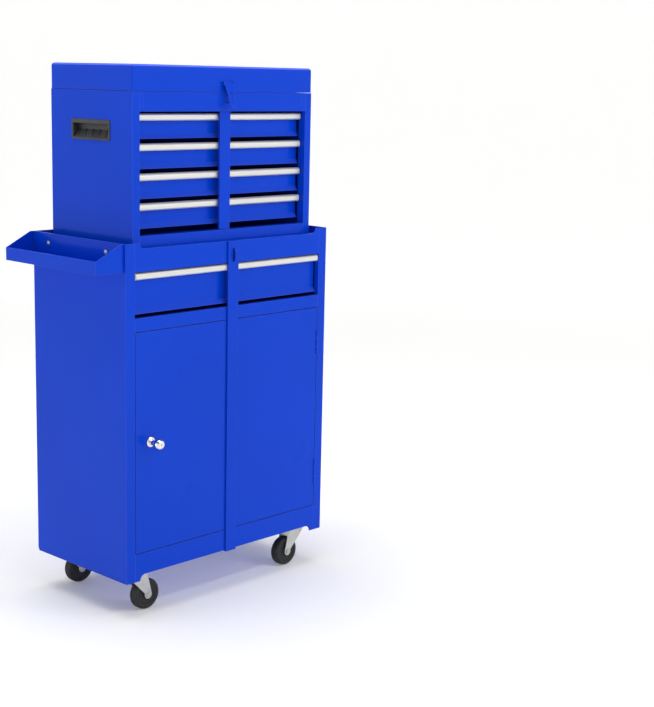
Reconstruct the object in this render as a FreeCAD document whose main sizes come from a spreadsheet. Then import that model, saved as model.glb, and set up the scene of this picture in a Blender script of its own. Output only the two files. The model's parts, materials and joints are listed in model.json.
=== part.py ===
import FreeCAD, Part
import math
import os
import Sketcher
from FreeCAD import Placement, Rotation, Vector

# Rolling tool chest: a cabinet on four swivel casters, with a side tray, one drawer and a door
# below, and a lift-off top chest with four drawers and a hinged lid. Millimetres, +Z up, the front
# faces -Y, and the origin is on the ground under the middle of the whole chest.

DRIVING = {
    # whole cabinet
    "middle": 33.0,            # x of the cabinet's middle plane
    "front": -129.0,           # y of the cabinet's front face
    "half_width": 273.0,
    "depth": 293.0,
    "gauge": 1.0,              # sheet steel
    "base_low": 76.5,          # lowest edge of the cabinet's corners
    "hem_high": 81.0,          # lower edge of the side panels, above the floor pan's hem
    "rail_low": 89.0,
    "door_low": 133.0,         # door opening
    "door_high": 577.0,
    "drawer_low": 603.0,       # lower drawer opening
    "drawer_high": 692.0,
    "fascia_high": 736.0,
    "rim_high": 747.0,
    "stile": 22.0,
    "frame_return": 11.0,      # inward fold of stiles and rails
    "ear": 12.0,               # length of each corner ear beyond the stile
    "back_flange": 14.0,       # fold of each side panel that carries the back
    "floor_high": 93.0,
    "shelf_high": 431.0,
    "shelf_flange": 16.0,
    "shelf_hem": 8.0,
    "shelf_setback": 26.0,
    "pan_floor": 720.0,
    "pan_ledge": 12.5,         # from the front face to the pan's front wall
    "mat_thick": 3.0,
    "mat_margin": 4.0,
    # side tray
    "tray_reach": 66.0,
    "tray_low": 693.0,
    "tray_lip": 718.0,
    "tray_setback": 5.0,
    "tray_hem": 7.0,
    # top chest
    "chest_setback": 20.0,
    "chest_half": 239.0,
    "chest_depth": 254.0,
    "chest_low": 724.3,
    "chest_stile": 17.0,
    "chest_return": 18.0,
    "chest_hem": 7.0,          # fold along the top of the case's sides
    "bank_low": 757.0,         # opening for the four drawers
    "bank_high": 992.0,
    "split_high": 1029.2,      # top edge of the top chest's case
    "lid_low": 1030.0,
    "lid_high": 1080.0,
    "lid_round": 8.0,
    # drawers
    "face_recess": 24.0,       # drawer faces behind the top chest's front
    "low_recess": 13.0,
    "pitch": 57.0,
    "bank_top": 988.0,         # top of the highest handle
    "front_height": 48.0,
    "front_fold": 8.0,         # side folds of each drawer front
    "box_drop": 8.0,           # drawer's rim below the top of its front
    "box_lift": 5.0,           # drawer's floor above the foot of its lip
    "low_top": 690.0,
    "low_front_height": 80.0,
    "side_play": 2.0,          # gap beside each drawer front
    "handle_height": 14.0,
    "handle_depth": 13.0,
    "lip_height": 9.0,
    "lip_reach": 6.0,
    "box_length": 216.0,
    "low_box_length": 262.0,
    "slide_start": 10.0,       # fixed members behind the drawer's face
    "slide_width": 12.6,
    "slide_height": 20.0,
    "low_slide_height": 32.0,
    # locking bars
    "bar_half": 13.7,
    "bar_thick": 1.5,
    "bar_recess": 4.5,
    "bar_gap": 0.5,
    "staple_reach": 12.0,
    "staple_wire": 1.6,
    # door
    "door_play": 1.5,
    "door_thick": 16.0,
    "knob_in": 36.0,           # knob from the door's free edge
    "knob_high": 356.0,
    "knob_reach": 35.0,
    "knob_radius": 11.0,
    "knuckle": 3.0,
    "hinge_length": 54.0,
    "hinge_inset": 50.0,
    # casters
    "wheel_radius": 31.75,
    "wheel_half": 10.0,
    "axle_radius": 3.0,
    "trail": 25.0,
    "swivel_side": 50.0,       # swivel axis from the cabinet's side
    "swivel_front": 38.0,      # swivel axis from the cabinet's front or back
    # carrying grips
    "grip_length": 120.0,
    "grip_height": 40.0,
    "grip_middle": 954.0,
    "grip_pocket": 13.0,
    # caster brakes
    "brake_out": 21.0,         # brake's pivot from the swivel axis
    "brake_tab": 12.0,         # foot tab beyond the pivot
}

FIT = 0.3       # gap between pieces that move past each other
RUNNING = 0.05  # radial play of pins and axles

doc = FreeCAD.newDocument("ToolChest")


class Size:
    """A length with its number and the sheet expression that gives it."""

    def __init__(self, value, text):
        self.value = float(value)
        self.text = text

    def __add__(self, other):
        other = size(other)
        return Size(self.value + other.value, f"({self.text} + {other.text})")

    def __sub__(self, other):
        other = size(other)
        return Size(self.value - other.value, f"({self.text} - {other.text})")

    def __mul__(self, other):
        other = size(other)
        return Size(self.value * other.value, f"({self.text} * {other.text})")

    def __truediv__(self, other):
        other = size(other)
        return Size(self.value / other.value, f"({self.text} / {other.text})")

    def __radd__(self, other):
        return size(other) + self

    def __rsub__(self, other):
        return size(other) - self

    def __rmul__(self, other):
        return size(other) * self

    def __neg__(self):
        return size(0) - self


def size(value):
    return value if isinstance(value, Size) else Size(value, f"({value:.6g})")


class Sizes:
    """The driving dimensions, kept in a spreadsheet and read back by name."""

    def __init__(self, table):
        sheet = doc.addObject("Spreadsheet::Sheet", "Sizes")
        for row, (name, value) in enumerate(table.items(), start=1):
            sheet.set(f"A{row}", name)
            sheet.set(f"B{row}", f"{value:g}")
            sheet.setAlias(f"B{row}", name)
            setattr(self, name, Size(value, f"Sizes.{name}"))
        doc.recompute()


S = Sizes(DRIVING)
REAR = S.front + S.depth
CHEST_FRONT = S.front + S.chest_setback
CHEST_REAR = CHEST_FRONT + S.chest_depth
NODES = []


def bind(item, **formulas):
    """Ties properties of an object to the sheet; a double underscore stands for a dot."""
    for name, value in formulas.items():
        item.setExpression(name.replace("__", "."), size(value).text)
    return item


def block(xs, ys, zs):
    """A block from its low and high x, y and z."""
    item = doc.addObject("Part::Box", "block")
    (x0, x1), (y0, y1), (z0, z1) = xs, ys, zs
    bind(item, Length=size(x1) - x0, Width=size(y1) - y0, Height=size(z1) - z0)
    return bind(item, Placement__Base__x=x0, Placement__Base__y=y0, Placement__Base__z=z0)


TURNS = {
    "x": Rotation(Vector(0, 1, 0), 90),
    "y": Rotation(Vector(1, 0, 0), -90),
    "z": Rotation(),
}


def rod(axis, start, radius, length):
    """A cylinder from its start point along one axis."""
    item = doc.addObject("Part::Cylinder", "rod")
    item.Placement = Placement(Vector(), TURNS[axis])
    bind(item, Radius=radius, Height=length)
    x, y, z = start
    return bind(item, Placement__Base__x=x, Placement__Base__y=y, Placement__Base__z=z)


def weld(items):
    """Several pieces of metal made one."""
    if len(items) == 1:
        return items[0]
    item = doc.addObject("Part::MultiFuse", "weld")
    item.Shapes = items
    item.Refine = True
    return item


def cut(base, tools):
    item = doc.addObject("Part::Cut", "cut")
    item.Base = base
    item.Tool = weld(tools)
    item.Refine = True
    return item


def several(items):
    """Separate solids that share a node."""
    item = doc.addObject("Part::Compound", "several")
    item.Links = items
    return item


def node(label, item):
    item.Label = label
    NODES.append(item)
    return item


def formed(name, shape):
    """A shape that Part's own functions make, for bent wire and flat plates with round ends."""
    item = doc.addObject("Part::Feature", name)
    item.Shape = shape
    return item


def span(side, near, far):
    """Low and high x of the stretch from near to far off the middle plane, on one side."""
    if side > 0:
        return S.middle + near, S.middle + far
    return S.middle - far, S.middle - near


def point(x, y, z):
    return Vector(size(x).value, size(y).value, size(z).value)


def bent_wire(points, bend, radius):
    """A round wire along straight runs joined by tangent arcs."""
    edges = []
    start = points[0]
    for here, after in zip(points[1:-1], points[2:]):
        back = (start - here).normalize()
        on = (after - here).normalize()
        half = back.getAngle(on) / 2
        reach = bend / math.tan(half)
        first, last = here + back * reach, here + on * reach
        middle = here + (back + on).normalize() * (bend / math.sin(half) - bend)
        edges += [Part.LineSegment(start, first).toShape(), Part.Arc(first, middle, last).toShape()]
        start = last
    edges.append(Part.LineSegment(start, points[-1]).toShape())
    path = Part.Wire(edges)
    ring = Part.Wire(Part.Circle(points[0], points[1] - points[0], radius).toShape())
    return path.makePipeShell([ring], True, True)


def plate(outline, thickness):
    """A flat plate from a closed list of points, extruded along a vector."""
    return Part.Face(Part.makePolygon(outline + outline[:1])).extrude(thickness)


# ---- bodies drawn as sketches --------------------------------------------------------------

PLANES = {"across": "YZ_Plane", "front": "XZ_Plane", "flat": "XY_Plane"}


def sketch_on(body, plane, offset=0.0):
    """A sketch on one of the body's own origin planes."""
    sketch = body.newObject("Sketcher::SketchObject", "outline")
    for feature in body.Origin.OriginFeatures:
        if feature.Role == PLANES[plane]:
            sketch.AttachmentSupport = [(feature, "")]
    sketch.MapMode = "FlatFace"
    bind(sketch, AttachmentOffset__Base__z=offset)
    return sketch


def closed_line(sketch, points):
    """A closed polygon whose corners are tied to the sheet."""
    first = sketch.GeometryCount
    ends = points[1:] + points[:1]
    for a, b in zip(points, ends):
        ends_of_line = [Vector(size(u).value, size(v).value, 0) for u, v in (a, b)]
        sketch.addGeometry(Part.LineSegment(*ends_of_line))
    for i, (u, v) in enumerate(points):
        line, after = first + i, first + (i + 1) % len(points)
        sketch.addConstraint(Sketcher.Constraint("Coincident", line, 2, after, 1))
        for kind, value in (("DistanceX", u), ("DistanceY", v)):
            rule = Sketcher.Constraint(kind, -1, 1, line, 1, size(value).value)
            number = sketch.addConstraint(rule)
            sketch.setExpression(f"Constraints[{number}]", size(value).text)


def ring(sketch, u, v, radius):
    """A circle tied to the sheet."""
    centre = Vector(size(u).value, size(v).value, 0)
    number = sketch.addGeometry(Part.Circle(centre, Vector(0, 0, 1), size(radius).value))
    for kind, value in (("DistanceX", u), ("DistanceY", v)):
        rule = sketch.addConstraint(Sketcher.Constraint(kind, -1, 1, number, 3, size(value).value))
        sketch.setExpression(f"Constraints[{rule}]", size(value).text)
    rule = sketch.addConstraint(Sketcher.Constraint("Radius", number, size(radius).value))
    sketch.setExpression(f"Constraints[{rule}]", size(radius).text)


def turned(name, plane, points, axis, at):
    """A body made by revolving one closed outline about an axis of its sketch."""
    body = doc.addObject("PartDesign::Body", name)
    sketch = sketch_on(body, plane)
    closed_line(sketch, points)
    lathe = body.newObject("PartDesign::Revolution", "lathe")
    lathe.Profile = sketch
    lathe.ReferenceAxis = (sketch, [axis])
    lathe.Angle = 360
    x, y, z = at
    bind(body, Placement__Base__x=x, Placement__Base__y=y, Placement__Base__z=z)
    return body


def slab(plane_points, direction):
    """A plate from points given as (x, y, z) sizes, extruded along a vector."""
    return plate([point(*p) for p in plane_points], direction)


def bounds_pair(centre, half):
    return centre - half, centre + half


# ---- cabinet -------------------------------------------------------------------------------

OPENING = S.half_width - S.stile
FRAME_BACK = S.front + S.frame_return
INNER_REAR = REAR - 2 * S.gauge
FACE_PLY = (S.front, S.front + S.gauge)
STAPLE_BEND = 5.0
HINGE_X = S.middle + OPENING - S.door_play / 2
HINGE_SPANS = [
    (S.door_low + S.hinge_inset, S.door_low + S.hinge_inset + S.hinge_length),
    (S.door_high - S.hinge_inset - S.hinge_length, S.door_high - S.hinge_inset),
]
KNUCKLE_ROOM = S.knuckle + 0.5


def knuckle_notches():
    """Room for the door's knuckles in the stile and in the door's edge."""
    return [
        block(
            bounds_pair(HINGE_X, KNUCKLE_ROOM),
            bounds_pair(S.front, KNUCKLE_ROOM),
            (low - FIT, high + FIT),
        )
        for low, high in HINGE_SPANS
    ]


def cabinet_side(side):
    """Side panel with the front stile folded from it, and a flange for the back."""
    edge = S.half_width
    tall = (S.hem_high, S.rim_high)
    fold = span(side, OPENING, OPENING + S.gauge)
    flange = span(side, edge - S.back_flange, edge - S.gauge)
    folded = weld([
        block(span(side, edge - S.gauge, edge), (S.front, REAR), tall),
        block(span(side, OPENING, edge), FACE_PLY, (S.base_low, S.rim_high)),
        block(fold, (S.front, FRAME_BACK), (S.floor_high, S.drawer_high)),
        block(flange, (INNER_REAR, REAR - S.gauge), tall),
    ])
    return cut(folded, knuckle_notches()) if side > 0 else folded


def corner_ears(low, high, round_z):
    """The two corner ears of a rail, each with a hollow curve down to the rail's edge."""
    drop = high - low
    parts = []
    for side in (-1, 1):
        inner = OPENING - S.ear - drop
        ear = block(span(side, inner, OPENING), FACE_PLY, (low, high))
        hollow_x = S.middle + side * inner
        hollow = rod("y", (hollow_x, S.front - 1, round_z), drop, S.gauge + 2)
        parts.append(cut(ear, [hollow]))
    return parts


def staple(y, low, high):
    """A round wire loop whose two feet stand on a front."""
    x, tip = S.middle, y - S.staple_reach + S.staple_wire
    wire = bent_wire(
        [point(x, y, low), point(x, tip, low), point(x, tip, high), point(x, y, high)],
        STAPLE_BEND, S.staple_wire.value,
    )
    return formed("staple", wire)


def front_fascia():
    wide = bounds_pair(S.middle, OPENING)
    folded = weld([
        block(wide, FACE_PLY, (S.drawer_high, S.fascia_high)),
        block(wide, (S.front, FRAME_BACK), (S.drawer_high, S.drawer_high + S.gauge)),
        *corner_ears(S.fascia_high, S.rim_high, S.rim_high),
    ])
    return several([folded, staple(S.front, S.drawer_high + 6, S.drawer_high + 26)])


def middle_rail():
    wide = bounds_pair(S.middle, OPENING)
    return weld([
        block(wide, FACE_PLY, (S.door_high, S.drawer_low)),
        block(wide, (S.front, FRAME_BACK), (S.door_high, S.door_high + S.gauge)),
        block(wide, (S.front, FRAME_BACK), (S.drawer_low - S.gauge, S.drawer_low)),
    ])


def bottom_rail():
    wide = bounds_pair(S.middle, OPENING)
    return weld([
        block(wide, FACE_PLY, (S.rail_low, S.door_low)),
        block(wide, (S.front, FRAME_BACK), (S.door_low - S.gauge, S.door_low)),
        *corner_ears(S.base_low, S.rail_low, S.base_low),
    ])


def cabinet_back():
    inside = S.half_width - S.gauge
    return block(bounds_pair(S.middle, inside), (REAR - S.gauge, REAR), (S.hem_high, S.rim_high))


def cabinet_floor():
    """Floor pan whose sides turn down and hem out under the side panels."""
    inside = S.half_width - S.gauge
    deep = (S.front + S.gauge, INNER_REAR)
    parts = [block(bounds_pair(S.middle, inside), deep, (S.floor_high - S.gauge, S.floor_high))]
    for side in (-1, 1):
        web = span(side, inside - S.gauge, inside)
        hem = span(side, inside, S.half_width)
        foot = span(side, inside - S.gauge, S.half_width)
        parts += [
            block(web, deep, (S.base_low, S.floor_high)),
            block(foot, deep, (S.base_low, S.base_low + S.gauge)),
            block(hem, deep, (S.base_low, S.hem_high - 0.6)),
        ]
    return weld(parts)


def open_tray(half, deep, low, high, front_high, wall):
    """A folded tray, open on top; its front wall may be lower than the others."""
    front, rear = deep
    wide = bounds_pair(S.middle, half)
    sides = [
        block(span(side, half - wall, half), deep, (low, high))
        for side in (-1, 1)
    ]
    return weld([
        block(wide, deep, (low, low + wall)),
        block(wide, (front, front + wall), (low, front_high)),
        block(wide, (rear - wall, rear), (low, high)),
        *sides,
    ])


def worktop_pan():
    """The sunk top of the cabinet that the top chest stands in."""
    deep = (S.front + S.pan_ledge, INNER_REAR)
    tray = open_tray(S.half_width - S.gauge, deep, S.pan_floor, S.rim_high - 1, S.fascia_high,
                     S.gauge)
    ledge = block(bounds_pair(S.middle, S.half_width - S.gauge), (S.front + S.gauge, deep[0]),
                  (S.fascia_high - S.gauge, S.fascia_high))
    return weld([tray, ledge])


def worktop_mat():
    low = S.pan_floor + S.gauge
    front = S.front + S.pan_ledge + S.mat_margin
    return block(bounds_pair(S.middle, S.half_width - S.gauge - S.mat_margin),
                 (front, INNER_REAR - S.mat_margin), (low, low + S.mat_thick))


def shelf():
    wide = bounds_pair(S.middle, S.half_width - S.gauge)
    front, low = S.front + S.shelf_setback, S.shelf_high - S.shelf_flange
    return weld([
        block(wide, (front, INNER_REAR), (S.shelf_high - S.gauge, S.shelf_high)),
        block(wide, (front, front + S.gauge), (low, S.shelf_high)),
        block(wide, (front, front + S.shelf_hem), (low, low + S.gauge)),
    ])


TRAY_SHOULDER = 8.0     # level stretch of each end plate before it slopes down


def side_tray():
    """Narrow trough on the left side, with sloping ends and a hemmed outer lip."""
    inner = S.middle - S.half_width
    outer = inner - S.tray_reach
    deep = (S.front + S.tray_setback, REAR)
    ends = []
    for y in (deep[0], deep[1] - S.gauge):
        outline = [(outer, y, S.tray_low), (inner, y, S.tray_low), (inner, y, S.rim_high),
                   (inner - TRAY_SHOULDER, y, S.rim_high), (outer, y, S.tray_lip)]
        ends.append(formed("tray_end", slab(outline, Vector(0, S.gauge.value, 0))))
    return weld([
        block((inner - S.gauge, inner), deep, (S.tray_low, S.rim_high)),
        block((outer, inner), deep, (S.tray_low, S.tray_low + S.gauge)),
        block((outer, outer + S.gauge), deep, (S.tray_low, S.tray_lip)),
        block((outer, outer + S.tray_hem), deep, (S.tray_lip - S.gauge, S.tray_lip)),
        *ends,
    ])


TRAY_SCREWS_Y = (S.front + 58, S.front + 241)
TRAY_SCREW_DROP = 20.0      # below the cabinet's rim
PAN_HEAD, HEAD_RADIUS = 2.4, 4.5


def tray_screws():
    """Pan-head screws that hold the tray to the cabinet."""
    face, z = S.middle - S.half_width - S.gauge, S.rim_high - TRAY_SCREW_DROP
    return [rod("x", (face - PAN_HEAD, y, z), HEAD_RADIUS, PAN_HEAD) for y in TRAY_SCREWS_Y]


# ---- slides --------------------------------------------------------------------------------

LEAF = 1.2          # thickness of slide members
SLIDE_GAP = 0.5     # room between nested members
MOUTH_GAP = 2.0     # room between a fixed member's mouth and the drawer's side
INNER_REACH = 8.0   # width of the member on the drawer
BRACKET = 12.0      # length of each bracket along the slide


def channel(side, web, mouth, ys, middle_z, half):
    """A C channel along y with its web at x = web and its mouth at x = mouth, off the middle."""
    near, far = (mouth, web) if mouth.value < web.value else (web, mouth)
    ply = (web - LEAF, web) if mouth.value < web.value else (web, web + LEAF)
    return [
        block(span(side, *ply), ys, bounds_pair(middle_z, half)),
        block(span(side, near, far), ys, (middle_z + half - LEAF, middle_z + half)),
        block(span(side, near, far), ys, (middle_z - half, middle_z - half + LEAF)),
    ]


def slide_outer(side, box_half, wall, ys, middle_z, height):
    """Fixed member of a slide, on two brackets from the wall behind it."""
    web = box_half + S.slide_width
    parts = channel(side, web, box_half + MOUTH_GAP, ys, middle_z, height / 2)
    for y in (ys[0] + 22, ys[1] - 30):
        parts.append(block(span(side, web, wall), (y, y + BRACKET), bounds_pair(middle_z, 5)))
    return weld(parts)


def slide_inner(side, box_half, ys, middle_z, half):
    """Moving member of a slide, riveted to the drawer's side, with its release lever."""
    parts = channel(side, box_half, box_half + INNER_REACH, ys, middle_z, half)
    lever = block(span(side, box_half + LEAF, box_half + INNER_REACH - 1),
                  (ys[0] + 10, ys[0] + 26), bounds_pair(middle_z, half - 2))
    return weld([*parts, lever])


# ---- drawers -------------------------------------------------------------------------------


def drawer_box(half, box_half, face, top, front_height, length):
    """One drawer: a folded box, a wider front with side folds and a lip flared at the foot."""
    low = top - front_height
    lip_top = low + S.lip_height
    sides = [
        block(span(side, half - S.gauge, half), (face, face + S.front_fold), (lip_top, top))
        for side in (-1, 1)
    ]
    box = open_tray(box_half, (face, face + length), low + S.box_lift, top - S.box_drop, top,
                    S.gauge)
    front = block(bounds_pair(S.middle, half), (face, face + S.gauge), (lip_top - 1, top))
    x = S.middle - half
    back = face + S.gauge
    lip = slab([(x, face, lip_top), (x, back, lip_top), (x, back, lip_top - 1.5),
                (x, face - S.lip_reach + 1.2, low), (x, face - S.lip_reach, low)],
               Vector(2 * half.value, 0, 0))
    return weld([box, front, formed("lip", lip), *sides])


def handle(half, face, top):
    """Extruded handle along the top of a drawer front, round at its front corners."""
    front = face - S.handle_depth
    round_off = 4.0
    wide = bounds_pair(S.middle, half)
    high = (top - S.handle_height, top)
    corners = [
        rod("x", (S.middle - half, front + round_off, z), round_off, 2 * half)
        for z in (high[0] + round_off, high[1] - round_off)
    ]
    solid = weld([
        block(wide, (front + round_off, face), high),
        block(wide, (front, face), (high[0] + round_off, high[1] - round_off)),
        *corners,
    ])
    hollow = block((S.middle - half - 1, S.middle + half + 1), (front + 5, face + 1),
                   (high[0] + 2, high[1] - 2))
    return cut(solid, [hollow])


CHEST_OPENING = S.chest_half - S.chest_stile
UPPER_HALF = CHEST_OPENING - S.side_play
UPPER_BOX = CHEST_OPENING - S.slide_width - 1
UPPER_FACE = CHEST_FRONT + S.face_recess
LOWER_HALF = OPENING - S.side_play
LOWER_BOX = OPENING - S.slide_width - 1.4
LOWER_FACE = S.front + S.low_recess
INNER_START = 3.0       # member on the drawer, behind its face
SLIDE_SHORT = 6.0       # slides end before the drawer does


def slide_run(face, length, start):
    """Low and high y of a slide member."""
    return face + start, face + length - SLIDE_SHORT


LOWER_SLIDE_Z = S.low_top - 40


def upper_top(level):
    return S.bank_top - S.pitch * level


def upper_slide_z(level):
    return upper_top(level) - 26


# ---- locking bars --------------------------------------------------------------------------


def locking_bar(front, back, low, high, foot_back):
    """A shallow channel across the drawers, with a foot turned in at its lower end."""
    wide = bounds_pair(S.middle, S.bar_half)
    folds = [
        block(span(side, S.bar_half - S.bar_thick, S.bar_half), (front, back), (low, high))
        for side in (-1, 1)
    ]
    return [
        block(wide, (front, front + S.bar_thick), (low, high)),
        block(wide, (front, foot_back), (low, low + S.bar_thick)),
        *folds,
    ]


def upper_lock_bar():
    front = CHEST_FRONT + S.bar_recess
    return weld(locking_bar(front, front + 4.5, S.bank_low + S.bar_gap,
                            S.bank_high - S.bar_gap, front + 5.5))


def lower_lock_bar():
    front = S.front - 4
    bar = weld(locking_bar(front, S.front - 0.4, S.rail_low - 2.2, S.fascia_high - 0.5,
                           S.front + 8))
    slot = block(bounds_pair(S.middle, 3.2), (front - 1, S.front),
                 (S.drawer_high + 2, S.drawer_high + 30))
    return cut(bar, [slot])


# ---- door ----------------------------------------------------------------------------------

DOOR_HALF = OPENING - S.door_play
DOOR_Z = (S.door_low + S.door_play, S.door_high - S.door_play)
DOOR_BACK = S.front + S.door_thick
KNOB_X = S.middle - DOOR_HALF + S.knob_in
BOARD_EDGE = S.middle - 90
PEG_COLUMNS, PEG_ROWS = 6, 8
PEG_PITCH_X, PEG_PITCH_Z = 35.0, 50.0
PEG_FIRST_X = S.middle - 80.5
PEG_FIRST_Z = DOOR_Z[0] + 62


def door_skin():
    """Door pan: skin, four folded edges and their narrow inner lips."""
    x0, x1 = bounds_pair(S.middle, DOOR_HALF)
    z0, z1 = DOOR_Z
    deep, lip = (S.front, DOOR_BACK), (DOOR_BACK - S.gauge, DOOR_BACK)
    ply, lip_width = S.gauge, 11
    parts = [block((x0, x1), FACE_PLY, (z0, z1))]
    for low, high in ((x0, x0 + ply), (x1 - ply, x1)):
        parts.append(block((low, high), deep, (z0, z1)))
    for low, high in ((z0, z0 + ply), (z1 - ply, z1)):
        parts.append(block((x0, x1), deep, (low, high)))
    for low, high in ((x0, x0 + lip_width), (x1 - lip_width, x1)):
        parts.append(block((low, high), lip, (z0, z1)))
    for low, high in ((z0, z0 + lip_width), (z1 - lip_width, z1)):
        parts.append(block((x0, x1), lip, (low, high)))
    barrel_hole = rod("y", (KNOB_X, S.front - 1, S.knob_high), 8 + FIT, S.gauge + 2)
    return cut(weld(parts), [barrel_hole, *knuckle_notches()])


def door_pegboard():
    """Perforated inner sheet, padded flat, then holed by a pattern of one pocket."""
    body = doc.addObject("PartDesign::Body", "pegboard")
    outline = sketch_on(body, "front")
    inner, top = DOOR_HALF - S.gauge, DOOR_Z[1] - S.gauge
    low = DOOR_Z[0] + S.gauge
    closed_line(outline, [(BOARD_EDGE, low), (S.middle + inner, low), (S.middle + inner, top),
                          (BOARD_EDGE, top)])
    pad = body.newObject("PartDesign::Pad", "sheet")
    pad.Profile = outline
    bind(pad, Length=S.gauge)
    holes = sketch_on(body, "front")
    ring(holes, PEG_FIRST_X, PEG_FIRST_Z, 2.2)
    doc.recompute()
    hole = body.newObject("PartDesign::Pocket", "hole")
    hole.Profile = holes
    hole.Type = "ThroughAll"
    hole.Midplane = True
    pattern = body.newObject("PartDesign::MultiTransform", "holes")
    pattern.Originals = [hole]
    steps = (("H_Axis", PEG_COLUMNS, PEG_PITCH_X), ("V_Axis", PEG_ROWS, PEG_PITCH_Z))
    transforms = []
    for axis, count, pitch in steps:
        step = body.newObject("PartDesign::LinearPattern", "step")
        step.Direction = (holes, [axis])
        step.Length = pitch * (count - 1)
        step.Occurrences = count
        transforms.append(step)
    pattern.Transformations = transforms
    body.Tip = pattern
    bind(body, Placement__Base__y=DOOR_BACK - S.gauge)
    return body


def board_fold():
    """Fold that carries the perforated sheet's free edge back to the skin."""
    return block((BOARD_EDGE, BOARD_EDGE + S.gauge), (S.front + S.gauge, DOOR_BACK - S.gauge),
                 (DOOR_Z[0] + S.gauge, DOOR_Z[1] - S.gauge))


HOOK_BEND, HOOK_WIRE = 3.4, 1.4


def door_hooks():
    """Four wire hooks in the perforated sheet."""
    hooks = []
    back = DOOR_BACK - S.gauge
    for column in (2, 4):
        for row in (2, 4):
            x = PEG_FIRST_X + PEG_PITCH_X * column
            z = PEG_FIRST_Z + PEG_PITCH_Z * row
            route = [point(x, back - 3, z), point(x, back + 7, z), point(x, back + 7, z - 26),
                     point(x, back + 22, z - 26), point(x, back + 26, z - 8)]
            hooks.append(formed("hook", bent_wire(route, HOOK_BEND, HOOK_WIRE)))
    return several(hooks)


def knuckles(side_leaf, spans, bore):
    """Hinge rolls about the door's axis; the bored ones turn on the pin of the others."""
    parts = []
    for low, high in spans:
        roll = rod("z", (HINGE_X, S.front, low), S.knuckle, high - low)
        parts.append(weld([roll, block(side_leaf, (S.front + 1.7, S.front + 11), (low, high))]))
    pins = [rod("z", (HINGE_X, S.front, low - 1), bore, high - low + 2) for low, high in spans]
    return [cut(part, [pin]) for part, pin in zip(parts, pins)]


def hinge_thirds(low, high):
    """Outer and middle stretches of one hinge, with play between them."""
    third = (high - low) / 3
    outer = [(low, low + third - FIT), (high - third + FIT, high)]
    return outer, [(low + third, high - third)]


PIN_RADIUS = 1.5


def door_hinge_frames():
    """Fixed half of each door hinge, with its pin."""
    leaf = (HINGE_X + 0.25, S.middle + OPENING)
    hinges = []
    for low, high in HINGE_SPANS:
        outer, _ = hinge_thirds(low, high)
        pin = rod("z", (HINGE_X, S.front, low), PIN_RADIUS, high - low)
        bridge = block((leaf[0], leaf[1]), (S.front + 4, S.front + 11), (low, high))
        hinges.append(weld([*knuckles(leaf, outer, PIN_RADIUS - 0.01), pin, bridge]))
    return several(hinges)


def door_hinge_leaves():
    """Moving half of each door hinge."""
    leaf = (S.middle + DOOR_HALF, HINGE_X - 0.25)
    hinges = []
    for low, high in HINGE_SPANS:
        _, inner = hinge_thirds(low, high)
        bridge = block(leaf, (S.front + 4, S.front + 14), (low, high))
        hinges.append(weld([*knuckles(leaf, inner, PIN_RADIUS + RUNNING), bridge]))
    return several(hinges)


def door_knob():
    """Round knob with its barrel through the door and the cam behind it."""
    ball_y = S.front - S.knob_reach + S.knob_radius
    ball = doc.addObject("Part::Sphere", "ball")
    bind(ball, Radius=S.knob_radius)
    bind(ball, Placement__Base__x=KNOB_X, Placement__Base__y=ball_y,
         Placement__Base__z=S.knob_high)
    cam_y = (DOOR_BACK + 1, DOOR_BACK + 3)
    return weld([
        ball,
        rod("y", (KNOB_X, ball_y, S.knob_high), 5.5, S.front - ball_y),
        rod("y", (KNOB_X, S.front - 3, S.knob_high), 8, cam_y[0] - S.front + 4),
        rod("y", (KNOB_X, S.front - 3, S.knob_high), 10, 3 - FIT),
        block(bounds_pair(KNOB_X, 7), cam_y, (S.knob_high - 40, S.knob_high + 7)),
    ])


# ---- top chest -----------------------------------------------------------------------------

CHEST_PLY = (CHEST_FRONT, CHEST_FRONT + S.gauge)
CHEST_BACK = CHEST_FRONT + S.chest_return
GRIP_Y = CHEST_FRONT + S.chest_depth / 2


def chest_casing():
    """Two sides and the back in one fold, with front stiles and holes for the grips."""
    half, tall = S.chest_half, (S.chest_low, S.split_high)
    top_ply = (S.split_high - S.gauge, S.split_high)
    deep = (CHEST_FRONT, CHEST_REAR)
    parts = [block(bounds_pair(S.middle, half), (CHEST_REAR - S.gauge, CHEST_REAR), tall)]
    holes = []
    for side in (-1, 1):
        fold = span(side, CHEST_OPENING, CHEST_OPENING + S.gauge)
        parts += [
            block(span(side, half - S.gauge, half), deep, tall),
            block(span(side, CHEST_OPENING, half), CHEST_PLY, tall),
            block(fold, (CHEST_FRONT, CHEST_BACK), (S.bank_low, S.bank_high)),
            block(span(side, half - S.chest_hem, half), deep, top_ply),
        ]
        holes.append(block(span(side, half - 2, half + 1),
                           bounds_pair(GRIP_Y, S.grip_length / 2 - 5),
                           bounds_pair(S.grip_middle, S.grip_height / 2 - 4)))
    return cut(weld(parts), holes)


def chest_floor():
    return block(bounds_pair(S.middle, S.chest_half - S.gauge),
                 (CHEST_FRONT + S.gauge, CHEST_REAR - S.gauge),
                 (S.chest_low, S.chest_low + S.gauge))


def lid_well():
    """Shallow tray under the lid."""
    deep = (CHEST_FRONT + S.gauge, CHEST_REAR - S.gauge)
    high = S.split_high - S.gauge
    return open_tray(S.chest_half - S.gauge, deep, S.bank_high + 1.2, high, high, S.gauge)


def chest_fascia():
    wide = bounds_pair(S.middle, CHEST_OPENING)
    fold = (CHEST_FRONT, CHEST_BACK)
    folded = weld([
        block(wide, CHEST_PLY, (S.bank_high, S.split_high)),
        block(wide, fold, (S.bank_high, S.bank_high + S.gauge)),
    ])
    return several([folded, staple(CHEST_FRONT, S.bank_high + 17, S.bank_high + 32)])


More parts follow.
